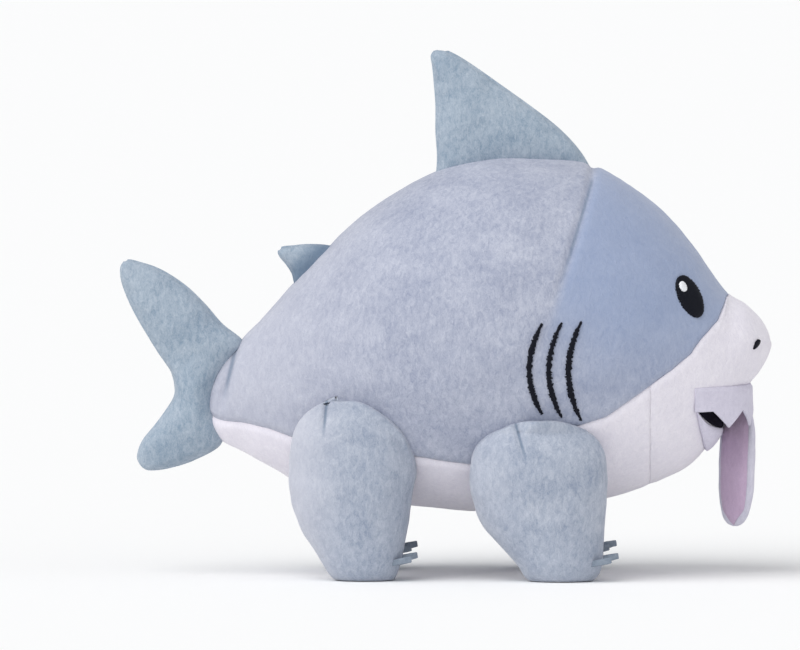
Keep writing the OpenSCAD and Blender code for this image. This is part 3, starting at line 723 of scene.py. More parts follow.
def puff(grid, outward, pressure, grow, cap):
    rows, columns = grid.shape[:2]
    across = np.cross(np.gradient(grid, axis=0), np.gradient(grid, axis=1))
    faces = quads(rows, columns, flip=(across * outward).sum() > 0)
    mesh = bpy.data.meshes.new("pattern")
    mesh.from_pydata([tuple(p) for p in grid.reshape(-1, 3) * SIM_SCALE], [],
                     [tuple(int(i) for i in f) for f in faces])
    mesh.update()
    pattern = bpy.data.objects.new("pattern", mesh)
    bpy.context.scene.collection.objects.link(pattern)
    seam = pattern.vertex_groups.new(name="seam")
    seam.add([int(i) for i in border(rows, columns)], 1.0, "REPLACE")
    cloth = pattern.modifiers.new("cloth", "CLOTH").settings
    cloth.vertex_group_mass = "seam"
    cloth.quality = 6
    cloth.mass = 0.25
    cloth.tension_stiffness = cloth.compression_stiffness = 18
    cloth.shear_stiffness = 8
    cloth.bending_stiffness = 0.6
    cloth.air_damping = 4
    cloth.use_pressure = True
    cloth.uniform_pressure_force = pressure
    cloth.shrink_min = -grow
    cloth.effector_weights.gravity = 0
    for step in range(1, SIM_FRAMES + 1):
        bpy.context.scene.frame_set(step)
    filled = pattern.evaluated_get(bpy.context.evaluated_depsgraph_get())
    points = np.array([v.co for v in filled.data.vertices]).reshape(grid.shape) / SIM_SCALE
    bpy.data.objects.remove(pattern)
    bpy.context.scene.frame_set(1)
    move = points - grid
    for _ in range(EVENING_PASSES):
        move[1:-1] = (move[:-2] + 2 * move[1:-1] + move[2:]) / 4
    far = np.linalg.norm(move, axis=2, keepdims=True)
    move *= cap * np.tanh(far / cap) / np.maximum(far, 1e-6)
    print("filled a panel; its cloth moved up to", round(float(far.max()), 1), "mm")
    return grid + move


def seam_edges(grid, seed, depth, tip=True):
    """How a panel's cloth sinks at its two long borders and, with tip, at its last row."""
    over, across = run_length(grid, 0), run_length(grid, 1)
    total = seam_pull(across, over, seed, depth)
    total = total + seam_pull(across[:, -1:] - across, over, seed + 1, depth)
    if tip:
        total = total + seam_pull(over[-1:] - over, across, seed + 2, depth)
    return total


# %% [markdown]
# ## Legs
# Each leg is a stubby stuffed tube of two panels, sewn against the flank with an arched seam.
# The rows give its height, its middle and half width, and its middle and half thickness, as
# shares. Where a leg lies on the body, its cloth follows the body's side at every angle that it
# swings through.

# %% Leg forms
HIND_ROWS = np.array([
    [0.000, 0.20, 0.02, -0.01, 0.02], [0.000, 0.20, 0.40, -0.01, 0.48],
    [0.020, 0.18, 0.50, -0.01, 0.66], [0.100, 0.14, 0.62, -0.01, 0.84],
    [0.290, 0.03, 0.84, 0.00, 0.94], [0.480, -0.01, 0.97, 0.02, 0.96],
    [0.630, 0.00, 1.00, 0.06, 0.90], [0.780, -0.05, 0.91, 0.12, 0.76],
    [0.900, -0.13, 0.68, 0.18, 0.52], [0.980, -0.15, 0.34, 0.24, 0.24],
    [1.000, -0.15, 0.03, 0.26, 0.02]])
FRONT_ROWS = np.array([
    [0.000, 0.32, 0.02, 0.00, 0.02], [0.000, 0.32, 0.40, 0.00, 0.48],
    [0.020, 0.32, 0.50, 0.00, 0.66], [0.110, 0.29, 0.62, 0.00, 0.84],
    [0.320, 0.10, 0.86, 0.02, 0.96], [0.520, 0.02, 0.97, 0.06, 1.00],
    [0.680, 0.00, 1.00, 0.14, 0.94], [0.820, 0.01, 0.93, 0.24, 0.76],
    [0.920, 0.02, 0.74, 0.32, 0.50], [0.985, 0.02, 0.38, 0.38, 0.24],
    [1.000, 0.02, 0.03, 0.40, 0.02]])
LEG_THICKNESS = 40
LEG_EDGE = 8          # how far the cloth stands off the body just inside the arched seam
LEG_SUNK = 2.2        # how far its border is pulled into the seam
LEG_ROWS = 90
LEG_COLUMNS = 56


def leg_facts(end):
    """A leg's hip, its height, its width and its rows."""
    low, high = box_mm(end + "_left_leg_outer")
    rows = FRONT_ROWS if end == "front" else HIND_ROWS
    return pivots[end + "_left_leg"], high[2], high[0] - low[0], rows


def leg_bed(end, x, z):
    """How far out the body's side is under a leg, over the leg's own swing."""
    hip, height = leg_facts(end)[:2]
    widest = joints[end + "_left_leg"]["range_deg"][1]
    share = smooth(height - z, 0, height - hip[2] + 12)
    dx, dz = x - hip[0], z - hip[2]
    far = np.zeros(np.shape(x))
    for turn in (-1, -0.5, 0, 0.5, 1):
        a = np.radians(turn * widest) * share
        far = np.maximum(far, flank(hip[0] + dx * np.cos(a) + dz * np.sin(a),
                                    hip[2] - dx * np.sin(a) + dz * np.cos(a)))
    return far


def leg_bend(end, side):
    """Two points over a leg's hip, in metres: one at the leg's top and one a little below the hip."""
    hip, height = leg_facts(end)[:2]
    y = side_sign(side) * hip[1] * MM
    return (hip[0] * MM, y, height * MM), (hip[0] * MM, y, (hip[2] - 12) * MM)


def leg_grid(end, low, high):
    """The left leg's cloth between two angles round it, lying on the body where they meet."""
    hip, height, width, rows = leg_facts(end)
    u = np.linspace(0, len(rows) - 1, 400)
    profile = along(rows, u)
    run = np.concatenate([[0], np.cumsum(np.hypot(np.diff(profile[:, 0]) * height,
                                                  np.diff(profile[:, 2]) * width / 2))])
    u = np.interp(np.linspace(0, run[-1], LEG_ROWS), run, u)
    row = along(rows, u)[:, None, :]
    turn = np.radians(np.linspace(low, high, LEG_COLUMNS))[None, :]
    z = np.clip(row[..., 0], 0, 1) * height + 0 * turn
    x = hip[0] + (row[..., 1] + np.maximum(row[..., 2], 0) * np.cos(turn)) * width / 2
    y = hip[1] + (row[..., 3] + np.maximum(row[..., 4], 0) * np.sin(turn)) * LEG_THICKNESS / 2
    ends = smooth(u, 0.3, 1.6)[:, None] * smooth(len(rows) - 1 - u, 0, 0.9)[:, None] ** 0.45
    rise = LEG_EDGE * np.maximum(np.sin(turn), 0) ** 0.7 * ends
    flush = smooth(z / height, 0.6, 0.85) * (1 - smooth(np.cos(turn), -1.0, 0.1))
    rise *= 1 - 0.45 * flush
    y = np.maximum(y, leg_bed(end, x, z) + 0.3 + rise)
    return np.stack([x, y, z], -1)


# %% [markdown]
# Two panels meet down the front and the back of the leg. Near the top of the arch a short tuck
# gives the thigh its roundness. The sole is pressed flat by the floor.

# %% Sewing the legs
THIGH_TUCK = {"hind": [(-54.5, 84), (-56.5, 66)], "front": [(32, 73), (37.5, 54)]}


def leg_panel(end, side, face):
    low, high = (0, 180) if face == "outer" else (180, 360)
    grid = leg_grid(end, low, high)
    hip, height = leg_facts(end)[:2]
    middle = np.array([hip[0], hip[1] + 2, height * 0.45])
    grid = puff(grid, grid - middle, pressure=2.2, grow=0.012, cap=1.8)
    grid = np.stack([grid[..., 0], np.maximum(grid[..., 1], leg_bed(end, grid[..., 0], grid[..., 2])
                                              + 0.3), np.maximum(grid[..., 2], 0.25)], -1)
    out = normals_of(grid, grid - middle)
    clear = grid[..., 1] - leg_bed(end, grid[..., 0], grid[..., 2])
    loose = smooth(clear, 0.4, 4.0)
    if face == "outer":
        out = out * loose[..., None] + np.array([0, 1, 0]) * (1 - loose[..., None])
        out /= np.linalg.norm(out, axis=2, keepdims=True)
    push = (0.8 * lumps(grid, 19) + seam_edges(grid, 11, 0.8)) * loose
    if face == "outer":
        gap, share = line_distance(grid[..., 0], grid[..., 2], THIGH_TUCK[end])
        push = push + loose * (1 - smooth(share, 0.3, 1)) * dent(gap, 2.0, 1.2)
    push *= smooth(grid[..., 2], 0.2, 3.5)
    outer = grid + out * push[..., None]
    sunk = LEG_SUNK if face == "outer" else LEG_SUNK + CLOTH
    outer[..., 1] -= sunk * (1 - smooth(clear, 0.3, 3.0))
    outer[..., 2] = np.maximum(outer[..., 2], 0.1)
    inner = outer - out * CLOTH
    inner[..., 2] = np.maximum(inner[..., 2], 0.1 + 0.6 * CLOTH)
    name = end + "_" + side + "_leg"
    piece = cloth_piece(name + "_" + face + "_cloth", mirrored(outer, side),
                        mirrored(inner, side), leg_blue)
    bend_from, bend_to = leg_bend(end, side)
    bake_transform(piece)
    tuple(bend_from)
    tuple(bend_to)
    declare([name + "_" + face], "blue_pile")


for end in ("front", "hind"):
    for side in ("left", "right"):
        for face in ("outer", "inner"):
            leg_panel(end, side, face)
print("eight leg panels sewn")

# %% [markdown]
# ## Claws
# The claws are thick felt strips caught in the seam of the foot. Each packed claw already has
# the right outline, so it is copied and made thicker, its edges are rounded, and its faces are
# made a little uneven, as cut felt is.


# %% Felt claws
CLAW_THICKER = 2.4


def plump(edit, times):
    """Make each separate part of a mesh thicker across its own flattest direction."""
    left = set(edit.verts)
    while left:
        part, todo = set(), [left.pop()]
        while todo:
            vertex = todo.pop()
            part.add(vertex)
            near = {e.other_vert(vertex) for e in vertex.link_edges} & left
            left -= near
            todo.extend(near)
        part = sorted(part, key=lambda v: v.index)
        points = np.array([v.co for v in part])
        middle = points.mean(0)
        flattest = np.linalg.svd(points - middle)[2][2]
        points += (times - 1) * ((points - middle) @ flattest)[:, None] * flattest
        for vertex, place in zip(part, points):
            vertex.co = place


def rounded_copy(name, node, material, edge, unevenness):
    """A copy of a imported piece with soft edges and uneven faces."""
    mesh = frame["nodes"][node].data.copy()
    mesh.name = name
    edit = bmesh.new()
    edit.from_mesh(mesh)
    bmesh.ops.remove_doubles(edit, verts=edit.verts, dist=0.01 * MM)
    edit.verts.index_update()
    plump(edit, CLAW_THICKER)
    bmesh.ops.dissolve_limit(edit, angle_limit=math.radians(2), verts=edit.verts, edges=edit.edges)
    bmesh.ops.bevel(edit, geom=edit.edges[:], offset=edge * MM, segments=3, affect="EDGES",
                    profile=0.6)
    bmesh.ops.triangulate(edit, faces=edit.faces)
    bmesh.ops.subdivide_edges(edit, edges=edit.edges, cuts=2, use_grid_fill=True)
    for vertex in edit.verts:
        vertex.co += vertex.normal * noise.noise(vertex.co / (1.3 * MM)) * unevenness * MM
    for face in edit.faces:
        face.smooth = True
    edit.to_mesh(mesh)
    edit.free()
    mesh.materials.clear()
    mesh.materials.append(material)
    piece = bpy.data.objects.new(name, mesh)
    bpy.context.scene.collection.objects.link(piece)
    return piece


for end in ("front", "hind"):
    for side in ("left", "right"):
        leg = end + "_" + side
        claws = rounded_copy(leg + "_felt_claws", leg + "_claws", claw_felt, 0.6, 0.14)
        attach(claws, leg + "_leg")
        declare([leg + "_claws"], "claw_felt")
print("claws made")

# %% [markdown]
# ## Fins and tail
# Each is two mirrored panels sewn round their edge, turned and filled, so its section is a flat
# pillow. A table gives the front edge, the back edge and the fullness from the root to the tip.
# The root runs a little way into the body, where its seam is.


# %% Blades
def blade_grid(front, back, full, half, rows=84, columns=64):
    """The left panel of a blade, from the points of its front and back edges."""
    u = np.linspace(0, len(front) - 1, rows)
    f, b, fullness = along(front, u), along(back, u), along(np.array(full), u)
    v = -np.cos(np.linspace(0, math.pi, columns))
    place = (f[:, None] + b[:, None]) / 2 + v[None, :, None] * (b - f)[:, None] / 2
    section = np.clip(1 - np.abs(v) ** 2.3, 0, 1)[None, :] ** 0.55
    y = 0.25 + half * np.clip(fullness, 0, 1.1)[:, None] * section
    return np.stack([place[..., 0], y, place[..., 1]], -1)


def sew_blade(name, grid, seed):
    """Fill and sew both panels of a blade."""
    middle = np.array([grid[..., 0].mean(), -4.0, grid[..., 2].mean()])
    full = puff(grid, grid - middle, pressure=2.0, grow=0.01, cap=1.2)
    for side in ("left", "right"):
        sided = mirrored(full, side)
        out = normals_of(sided, sided - mirrored(middle, side))
        push = 0.6 * lumps(sided, 15) + seam_edges(full, seed, 0.55)
        near_edge = smooth(full[..., 1], 0.2, 1.6)
        outer = sided + out * (push * near_edge)[..., None]
        inner = outer - out * CLOTH * np.clip(full[..., 1:2] / 3, 0.15, 1)
        keep = side_sign(side)
        outer[..., 1] = keep * np.maximum(keep * outer[..., 1], 0.12)
        inner[..., 1] = keep * np.maximum(keep * inner[..., 1], 0.06)
        piece = cloth_piece(name + "_cloth_" + side, outer, inner, fin_blue)
        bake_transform(piece)
        declare([name + "_" + side], "blue_pile")
    print(name, "sewn")


def back_height(x):
    return np.interp(x, fine_x, fine_middle + fine_half)


# %% [markdown]
# The dorsal fin stands behind the dart and leans back to a blunt tip. Its foot follows the curve of
# the spine, a little under the cloth.

# %% The dorsal fin
DORSAL = np.array([   # height, front, back, fullness: shares of the fin's own sizes
    [0.00, 0.00, 1.00, 0.90], [0.14, 0.08, 0.99, 1.00], [0.32, 0.22, 1.00, 0.96],
    [0.52, 0.41, 1.00, 0.84], [0.70, 0.59, 1.01, 0.70], [0.85, 0.74, 1.02, 0.54],
    [0.95, 0.85, 1.03, 0.38], [1.00, 0.92, 1.01, 0.14]])
ROOT_SUNK = 3.5       # how far a root runs under the body's cloth
low, high = box_mm("dorsal_fin_left")
fin_length = (high[0] - low[0]) / DORSAL[:, 2].max()
fin_foot = low[2]
fin_height = high[2] - fin_foot
front, back = (np.stack([high[0] - DORSAL[:, k] * fin_length, fin_foot + DORSAL[:, 0] * fin_height], 1)
               for k in (1, 2))
dorsal_grid = blade_grid(front, back, DORSAL[:, 3], high[1])
lift = (1 - (dorsal_grid[..., 2] - fin_foot) / fin_height) ** 3
follow = back_height(dorsal_grid[..., 0]) - ROOT_SUNK - fin_foot
dorsal_grid[..., 2] += lift * follow
sew_blade("dorsal_fin", dorsal_grid, 21)

# %% [markdown]
# The rear fin is the same blade made small. It stands square to the slope of the back, so its
# rows are laid out along that slope.

# %% The rear fin
REAR_FIN = np.array([
    [-0.20, -0.06, 1.02, 0.95], [0.00, 0.00, 1.00, 0.95], [0.25, 0.12, 0.90, 1.00],
    [0.55, 0.30, 0.85, 0.92], [0.82, 0.50, 0.83, 0.72], [0.96, 0.60, 0.80, 0.42],
    [1.02, 0.66, 0.76, 0.16]])
REAR_LENGTH = 24
REAR_HEIGHT = 15.5
rear_high = box_mm("rear_fin_left")[1]
rear_front_x = rear_high[0] + 2
rear_root = np.array([rear_front_x, back_height(rear_front_x)])
up_mm = REAR_FIN[:, :1] * REAR_HEIGHT * fin_up
front, back = (rear_root + up_mm + REAR_FIN[:, k:k + 1] * REAR_LENGTH * fin_back for k in (1, 2))
rear_grid = blade_grid(front, back, REAR_FIN[:, 3], rear_high[1], rows=44, columns=40)
sew_blade("rear_fin", rear_grid, 31)

# %% [markdown]
# The tail is an upright blade with a lobe above and a shorter one below. In its tables, the first
# share is how far behind the body a point is, so the front edge is below 0 where it is sewn in.

# %% The tail
TAIL_FRONT = np.array([
    [0.73, 0.012], [0.64, 0.000], [0.42, 0.010], [0.10, 0.050], [-0.22, 0.130], [-0.17, 0.250],
    [-0.14, 0.350], [-0.22, 0.440], [-0.38, 0.540], [-0.48, 0.610], [-0.23, 0.695],
    [-0.02, 0.790], [0.22, 0.880], [0.52, 0.955], [0.82, 0.995], [0.91, 1.000]])
TAIL_BACK = np.array([
    [0.77, 0.030], [0.80, 0.070], [0.74, 0.140], [0.58, 0.220], [0.45, 0.290], [0.36, 0.350],
    [0.35, 0.400], [0.39, 0.465], [0.47, 0.515], [0.55, 0.560], [0.66, 0.630], [0.81, 0.730],
    [0.92, 0.820], [0.99, 0.900], [1.00, 0.960], [0.96, 0.990]])
TAIL_FULL = [0.10, 0.30, 0.54, 0.76, 0.90, 1.00, 1.04, 1.00, 0.94, 0.90, 0.85, 0.78, 0.66, 0.50,
             0.30, 0.10]
low, high = box_mm("tail_left")
TAIL_GAP = 1.6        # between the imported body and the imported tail
tail_x = rear_x - TAIL_GAP
tail_size = np.array([low[0] - tail_x, high[2] - low[2]])
front, back = ([tail_x, low[2]] + edge * tail_size for edge in (TAIL_FRONT, TAIL_BACK))
tail_grid = blade_grid(front, back, TAIL_FULL, high[1], rows=120, columns=56)
sew_blade("tail", tail_grid, 41)

# %% [markdown]
# ## Embroidery
# Eyes, gills and nostrils are satin stitch: strands of thread laid side by side over the cloth.
# Every strand is modelled, because its ridge catches the light and its end makes the jagged edge
# that satin stitch has. One function lays strands across any centre line on the flank.


# %% Satin stitch
def satin(name, nodes, side, line, across, half_width, length, material, slot, high=1.0,
          pitch=0.5, jag=0.12, base=0.0, seed=1):
    """line, across and half_width are functions of the place q, from -1 to 1 along the patch."""
    rng = np.random.default_rng(seed)
    strands = max(int(length / pitch), 4)
    q = np.linspace(-1, 1, strands * 4 + 1)
    strand = np.minimum((np.arange(len(q)) // 4), strands - 1)
    uneven = 1 + jag * rng.uniform(-1, 1, strands)[strand]
    shift = jag * 0.5 * rng.uniform(-1, 1, strands)[strand]
    ridge = 0.16 * np.abs(np.sin(math.pi * np.arange(len(q)) / 4))
    p = np.linspace(-1, 1, 15)
    centre, way = line(q), across(q)
    reach = (half_width(q) * uneven)[:, None] * p + (shift * half_width(q))[:, None]
    x = centre[:, 0:1] + way[:, 0:1] * reach
    z = centre[:, 1:2] + way[:, 1:2] * reach
    dome = np.sqrt(np.clip(1 - np.abs(p) ** 3, 0, 1))[None, :] * np.clip(
        (1 - np.abs(q) ** 8), 0, 1)[:, None] ** 0.5
    foot, out = on_flank(x, z, np.zeros_like(x))
    foot = mirrored(foot, side)
    out = mirrored(out, side)
    under = lumps(foot)
    top = base + 0.25 + (high + ridge[:, None]) * dome
    outer = foot + out * (under + top)[..., None]
    inner = foot + out * (under + base - 0.3)[..., None]
    piece = cloth_piece(name, outer, inner, material)
    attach(piece, "torso")
    declare(nodes, slot)
    return piece


def box_middle(node):
    """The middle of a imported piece, seen from the side: x and z in millimetres."""
    low, high = box_mm(node)
    return (low[[0, 2]] + high[[0, 2]]) / 2


def oval(centre, wide, tall, tilt, fuller=0.0):
    """An oval that leans by tilt degrees, and is fuller at its top: line, crossing, half width."""
    c, s = math.cos(math.radians(tilt)), math.sin(math.radians(tilt))
    def line(q):
        return np.stack([centre[0] - s * q * tall / 2, centre[1] + c * q * tall / 2], 1)
    def across(q):
        return np.stack([np.full_like(q, c), np.full_like(q, s)], 1)
    def half_width(q):
        return wide / 2 * np.sqrt(np.clip(1 - q * q, 0, 1)) * (1 + fuller * q) + 0.05
    return line, across, half_width


# %% [markdown]
# The eye is a tall leaning oval, with a white glint stitched on top of it. The nostril is a small
# comma. Their places come from the imported pieces. The eye and its glint are set back by a
# millimetre or two, as judged.

# %% Eyes and nostrils
EYE_TILT = 27
EYE_TALL, GLINT_TALL, NOSTRIL_TALL = 21, 5, 5
for side in ("left", "right"):
    eye = box_middle("eye_" + side) + [-1.2, 0]
    satin("eye_satin_" + side, ["eye_" + side], side, *oval(eye, 9.6, EYE_TALL, EYE_TILT),
          EYE_TALL, black_thread, "black_thread", high=1.1, jag=0.05, seed=3)
    glint = box_middle("eye_glint_" + side) + [-2.2, -0.8]
    satin("eye_glint_satin_" + side, ["eye_glint_" + side], side,
          *oval(glint, 2.8, GLINT_TALL, EYE_TILT), GLINT_TALL, white_thread, "white_thread",
          high=0.7, jag=0.08, base=1.0, seed=4)
    nostril = box_middle("nostril_" + side)
    satin("nostril_satin_" + side, ["nostril_" + side], side,
          *oval(nostril, 2.0, NOSTRIL_TALL, -32, 0.5), NOSTRIL_TALL, black_thread,
          "black_thread", high=0.6, jag=0.1, seed=5)
print("eyes and nostrils stitched")

# %% [markdown]
# Three gill strokes on each side bow towards the tail. Each is its own row of strands.

# %% Gills
GILLS = 3
GILL_PITCH = 9
GILL_BOW = 6
low, high = box_mm("gills_left")
gill_first = low[0] + 1.2
gill_middle = (low[2] + high[2]) / 2


def gill(k):
    """An arc that bows towards the tail; strands cross it, so its edges are jagged."""
    tall = 42 + 2 * k
    def line(q):
        return np.stack([gill_first + k * GILL_PITCH + GILL_BOW * q * q,
                         gill_middle - 0.6 * (k - 1) + q * tall / 2], 1)
    def across(q):
        way = np.stack([np.full_like(q, tall / 2), -2 * GILL_BOW * q], 1)
        return way / np.linalg.norm(way, axis=1, keepdims=True)
    def half_width(q):
        return 1.25 * (1 - 0.6 * q ** 4)
    return line, across, half_width, tall


for side in ("left", "right"):
    for k in range(GILLS):
        line, across, half_width, tall = gill(k)
        satin("gill_satin_" + side + "_" + str(k + 1), [], side, line, across,
                             half_width, tall, black_thread, "black_thread", high=0.75,
                             pitch=0.55, jag=0.32, seed=10 + k)
    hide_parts("gills_" + side)
print("gills stitched")

# %% [markdown]
# ## The mouth
# A black felt lining lies in the open mouth. Over it hangs the upper lip, a felt flap cut in
# four teeth, and under it runs the felt band of the lower lip. Felt is cut, so the edges are
# square and clean, while the flap itself waves a little.

# %% Lining and lower lip
FELT = 1.2
TEETH = 4
TOOTH_REACH = 0.8     # share of the edge with teeth; its ends are plain
TOOTH_DEPTH = 8


def across_mouth(s, u, angle):
    """Points on the muzzle at station u and angle, on the right where s is below 0."""
    return body_point(u, angle) * np.stack(
        [np.ones_like(s), np.where(s < 0, -1, 1), np.ones_like(s)], -1)


def felt_sheet(name, node, grid, outward, low, high, material, slot):
    out = normals_of(grid, outward)
    fuzz = 0.08 * noise_at(grid, 1.6, 2) + 0.06 * noise_at(grid, 0.7, 3)
    piece = cloth_piece(name, grid + out * (high + fuzz)[..., None], grid + out * low[..., None],
                        material)
    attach(piece, "torso")
    declare([node], slot)
    return piece


s, level = net(np.linspace(-1, 1, 90), np.linspace(-0.05, 1.12, 40))
u = (1 - level) * mouth_low(s) + level * (14.1 - 1.4 * s * s)
lining = across_mouth(s, u, -90 + ((1 - level) * 60 + level * 66) * np.abs(s))
away = np.array([1.0, 0, -0.4])
under = lumps(lining)
felt_sheet("mouth_felt", "mouth_lining", lining, away + 0 * lining, under + 0.15, under + FELT,
           black_felt, "black_felt")

LIP_REACH = 0.9       # how far the lower lip runs towards the corners of the mouth
s, level = net(np.linspace(-LIP_REACH, LIP_REACH, 120), np.linspace(0, 1, 16))
u = (1 - level) * (12.38 - 0.35 * s * s) + level * (mouth_low(s) - 0.04)
chin = across_mouth(s, u, -90 + ((1 - level) * 67 + level * 58) * np.abs(s))
under = lumps(chin)
puffed = (1.6 - 0.4 * s * s) * np.sin(math.pi * np.clip(level, 0.02, 0.98)) ** 0.5
felt_sheet("lower_lip_felt", "lower_lip", chin, away + 0 * chin, under + 0.1, under + FELT + puffed,
           lip_felt, "lip_felt")
print("lining and lower lip made")

# %% [markdown]
# The upper lip is sewn along its top and at both ends, so it lies on the muzzle there. Its middle
# hangs straight down from the seam, clear of the chin, and that is where the teeth are.

# %% Upper lip
lip_low, lip_high = box_mm("upper_lip")
LIP_REAR = lip_low[0] + 0.05
LIP_TOP = lip_high[2]
ahead = np.linspace(LIP_REAR, lip_high[0] + 3, 2000)
LIP_FRONT = ahead[flank(ahead, LIP_TOP) > 0].max()
LIP_HINGE = 14        # the flap fans out from an axis this far behind its rear corners


def lip_grid(t, down):
    """The flap's points, from its right end to its left, and how freely it hangs at each."""
    v = 2 * t - 1
    x = LIP_REAR + (LIP_FRONT - LIP_REAR) * np.cos(np.radians(90 * v))
    place = (v / TOOTH_REACH + 1) / 2 * TEETH
    tooth = np.where(np.abs(v) < TOOTH_REACH, 1 - np.abs(2 * (place - np.floor(place)) - 1), 0)
    depth = (lip_high[2] - lip_low[2] - TOOTH_DEPTH) + TOOTH_DEPTH * tooth
    z = LIP_TOP - down * depth
    hang = 1 - np.abs(v) ** 6
    y = flank(x, LIP_TOP + 0 * x) * hang + flank(x, z) * (1 - hang)
    r = np.stack([x - LIP_REAR + LIP_HINGE, np.where(v < 0, -y, y)], -1)
    r *= (1 + 0.25 / np.linalg.norm([x - LIP_REAR + LIP_HINGE, y], axis=0))[..., None]
    return np.stack([r[..., 0] + LIP_REAR - LIP_HINGE, r[..., 1], z], -1), hang


t, down = net(np.linspace(0, 1, TEETH * 40 + 1), np.linspace(0, 1, 22))
flap, hang = lip_grid(t, down)
wave = down * hang * (0.7 * noise_at(flap, 9, 7, (1, 1, 3)) + 0.5 * down ** 2)
seam_dip = -0.9 * np.exp(-(down / 0.08) ** 2)
felt_sheet("upper_lip_felt", "upper_lip", flap, flap - np.array([100.0, 0, 80]), wave + seam_dip,
           wave + seam_dip + FELT, lip_felt, "lip_felt")
print("upper lip made")

# %% [markdown]
# ## The tongue
# The tongue is a small stuffed strip that hangs from behind the front teeth, turned to one side.
# Its section is a closed loop: the lilac front wraps round both edges, and the pink back is
# sewn in between, so that a lilac rim shows beside the pink.

# %% Tongue panels
TONGUE = np.array([   # down, width, thickness: shares
    [0.00, 0.50, 0.46], [0.08, 0.84, 0.62], [0.24, 1.00, 0.92], [0.45, 1.02, 1.00],
    [0.70, 1.00, 0.92], [0.88, 0.80, 0.72], [0.97, 0.48, 0.44], [1.00, 0.10, 0.14]])
tongue_seam = pivots["tongue"]
tongue_length = tongue_seam[2] - box_mm("tongue_back")[0][2]
tongue_wide = -np.array(joints["tongue"]["axis"])                # across the tongue
tongue_out = np.array([tongue_wide[1], -tongue_wide[0], 0])      # out of its lilac front
TONGUE_WIDTH = 20
TONGUE_THICK = 7
TONGUE_ROOT = 5       # how far the tongue goes up behind the flap, above its seam
TONGUE_LEAN = 2       # how far its tip hangs behind the seam
PINK_EDGE = 36        # degrees round the section where the pink back ends


def tongue_panel(name, node, start, material, slot):
    """One face of the tongue; start is 0 for the front and 180 for the back."""
    u = np.linspace(0, len(TONGUE) - 1, 60)
    row = along(TONGUE, u)[:, None, :]
    edge = PINK_EDGE + 42 * smooth(row[..., 0], 0.84, 1)
    span = 180 + 2 * edge if start == 0 else 180 - 2 * edge
    turn = np.radians(start + (-edge if start == 0 else edge) + span * np.linspace(0, 1, 40))
    wide = np.clip(row[..., 1], 0.05, 1.05) * TONGUE_WIDTH / 2 * np.cos(turn)
    thick = np.clip(row[..., 2], 0.08, 1.05) * TONGUE_THICK / 2 * np.abs(np.sin(turn)) ** 0.8 * (
        np.sign(np.sin(turn)))
    down = np.clip(row[..., 0], 0, 1) * (tongue_length + TONGUE_ROOT) - TONGUE_ROOT + 0 * turn
    grid = (tongue_seam + tongue_wide * wide[..., None] + tongue_out * thick[..., None]
            - np.array([0, 0, 1.0]) * down[..., None])
    grid[..., 0] -= TONGUE_LEAN * np.clip(row[..., 0], 0, 1)
    middle = np.stack([np.full(down.shape, tongue_seam[0]), np.zeros(down.shape),
                       tongue_seam[2] - down], -1)
    out = normals_of(grid, grid - middle)
    push = 0.35 * lumps(grid, 9) + seam_edges(grid, 51, 0.35, tip=False)
    outer = grid + out * push[..., None]
    piece = cloth_piece(name, outer, outer - out * 0.9, material)
    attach(piece, "tongue")
    declare([node], slot)


tongue_panel("tongue_front_cloth", "tongue_front", 0, lilac_pile, "lilac_pile")
tongue_panel("tongue_back_cloth", "tongue_back", 180, pink_pile, "pink_pile")
print("tongue made")

# %% [markdown]
# ## The fill
# Loose fibre cannot be seen in a finished toy, but the piece is there when it is cut open. Each
# packed filling is copied, remeshed evenly, made lumpy by noise, and drawn in towards its core, so
# that it stays inside its cover.


# %% Fibre fill
def near_nose(points):
    """A share that draws the fill in most at the nose, where the cover is narrow."""
    return 0.17 * (1 - smooth(np.linalg.norm(points - nose_end, axis=1), 25, 62))


def evenly(share):
    return lambda points: np.full(len(points), share)


def fill_piece(name, node, voxel, sunk, body, core, draw_in, bend=None):
    """A lumpy copy of a packed filling. It rides on body, or, when bend is given, stays fixed where it
    is made.
    """
    piece = bpy.data.objects.new(name, frame["nodes"][node].data.copy())
    bpy.context.scene.collection.objects.link(piece)
    remesh = piece.modifiers.new("even", "REMESH")
    remesh.mode = "VOXEL"
    remesh.voxel_size = voxel * MM
    even = bpy.data.meshes.new_from_object(
        piece.evaluated_get(bpy.context.evaluated_depsgraph_get()))
    piece.modifiers.clear()
    piece.data = even
    points = np.array([v.co for v in even.vertices]) / MM
    normals = np.array([v.normal for v in even.vertices])
    lump = noise_at(points, 8) + 0.5 * noise_at(points, 3.5)
    points -= normals * (sunk * (1.4 + 0.5 * lump))[:, None]
    points += draw_in(points)[:, None] * (core - points)
    for vertex, point in zip(even.vertices, points):
        vertex.co = point * MM
    for face in even.polygons:
        face.use_smooth = True
    even.materials.clear()
    even.materials.append(fill)
    if bend is None:
        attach(piece, body)
    else:
        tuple(bend[0])
        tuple(bend[1])
        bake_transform(piece)
    declare([node], "fibre_fill")


low, high = box_mm("body_stuffing")
nose_end = np.array([high[0], 0, low[2] + 0.36 * (high[2] - low[2])])
fill_piece("body_fill", "body_stuffing", 4.5, 1.6, "torso", nose_end - np.array([48, 0, -8]),
           near_nose)
for blade, voxel, sunk, share in (("dorsal_fin", 1.6, 0.3, 0.04), ("rear_fin", 0.9, 0.15, 0.25),
                                  ("tail", 1.6, 0.35, 0.08)):
    low, high = box_mm(blade + "_stuffing")
    fill_piece(blade + "_fill", blade + "_stuffing", voxel, sunk, blade, (low + high) / 2,
               evenly(share))
for end in ("front", "hind"):
    for side in ("left", "right"):
        name = end + "_" + side + "_leg"
        hip, height = leg_facts(end)[:2]
        core = mirrored(np.array([hip[0], hip[1], height * 0.45]), side)
        fill_piece(name + "_fill", name + "_stuffing", 2.5, 0.8, name, core, evenly(0.08),
                   leg_bend(end, side))
print("fill made")

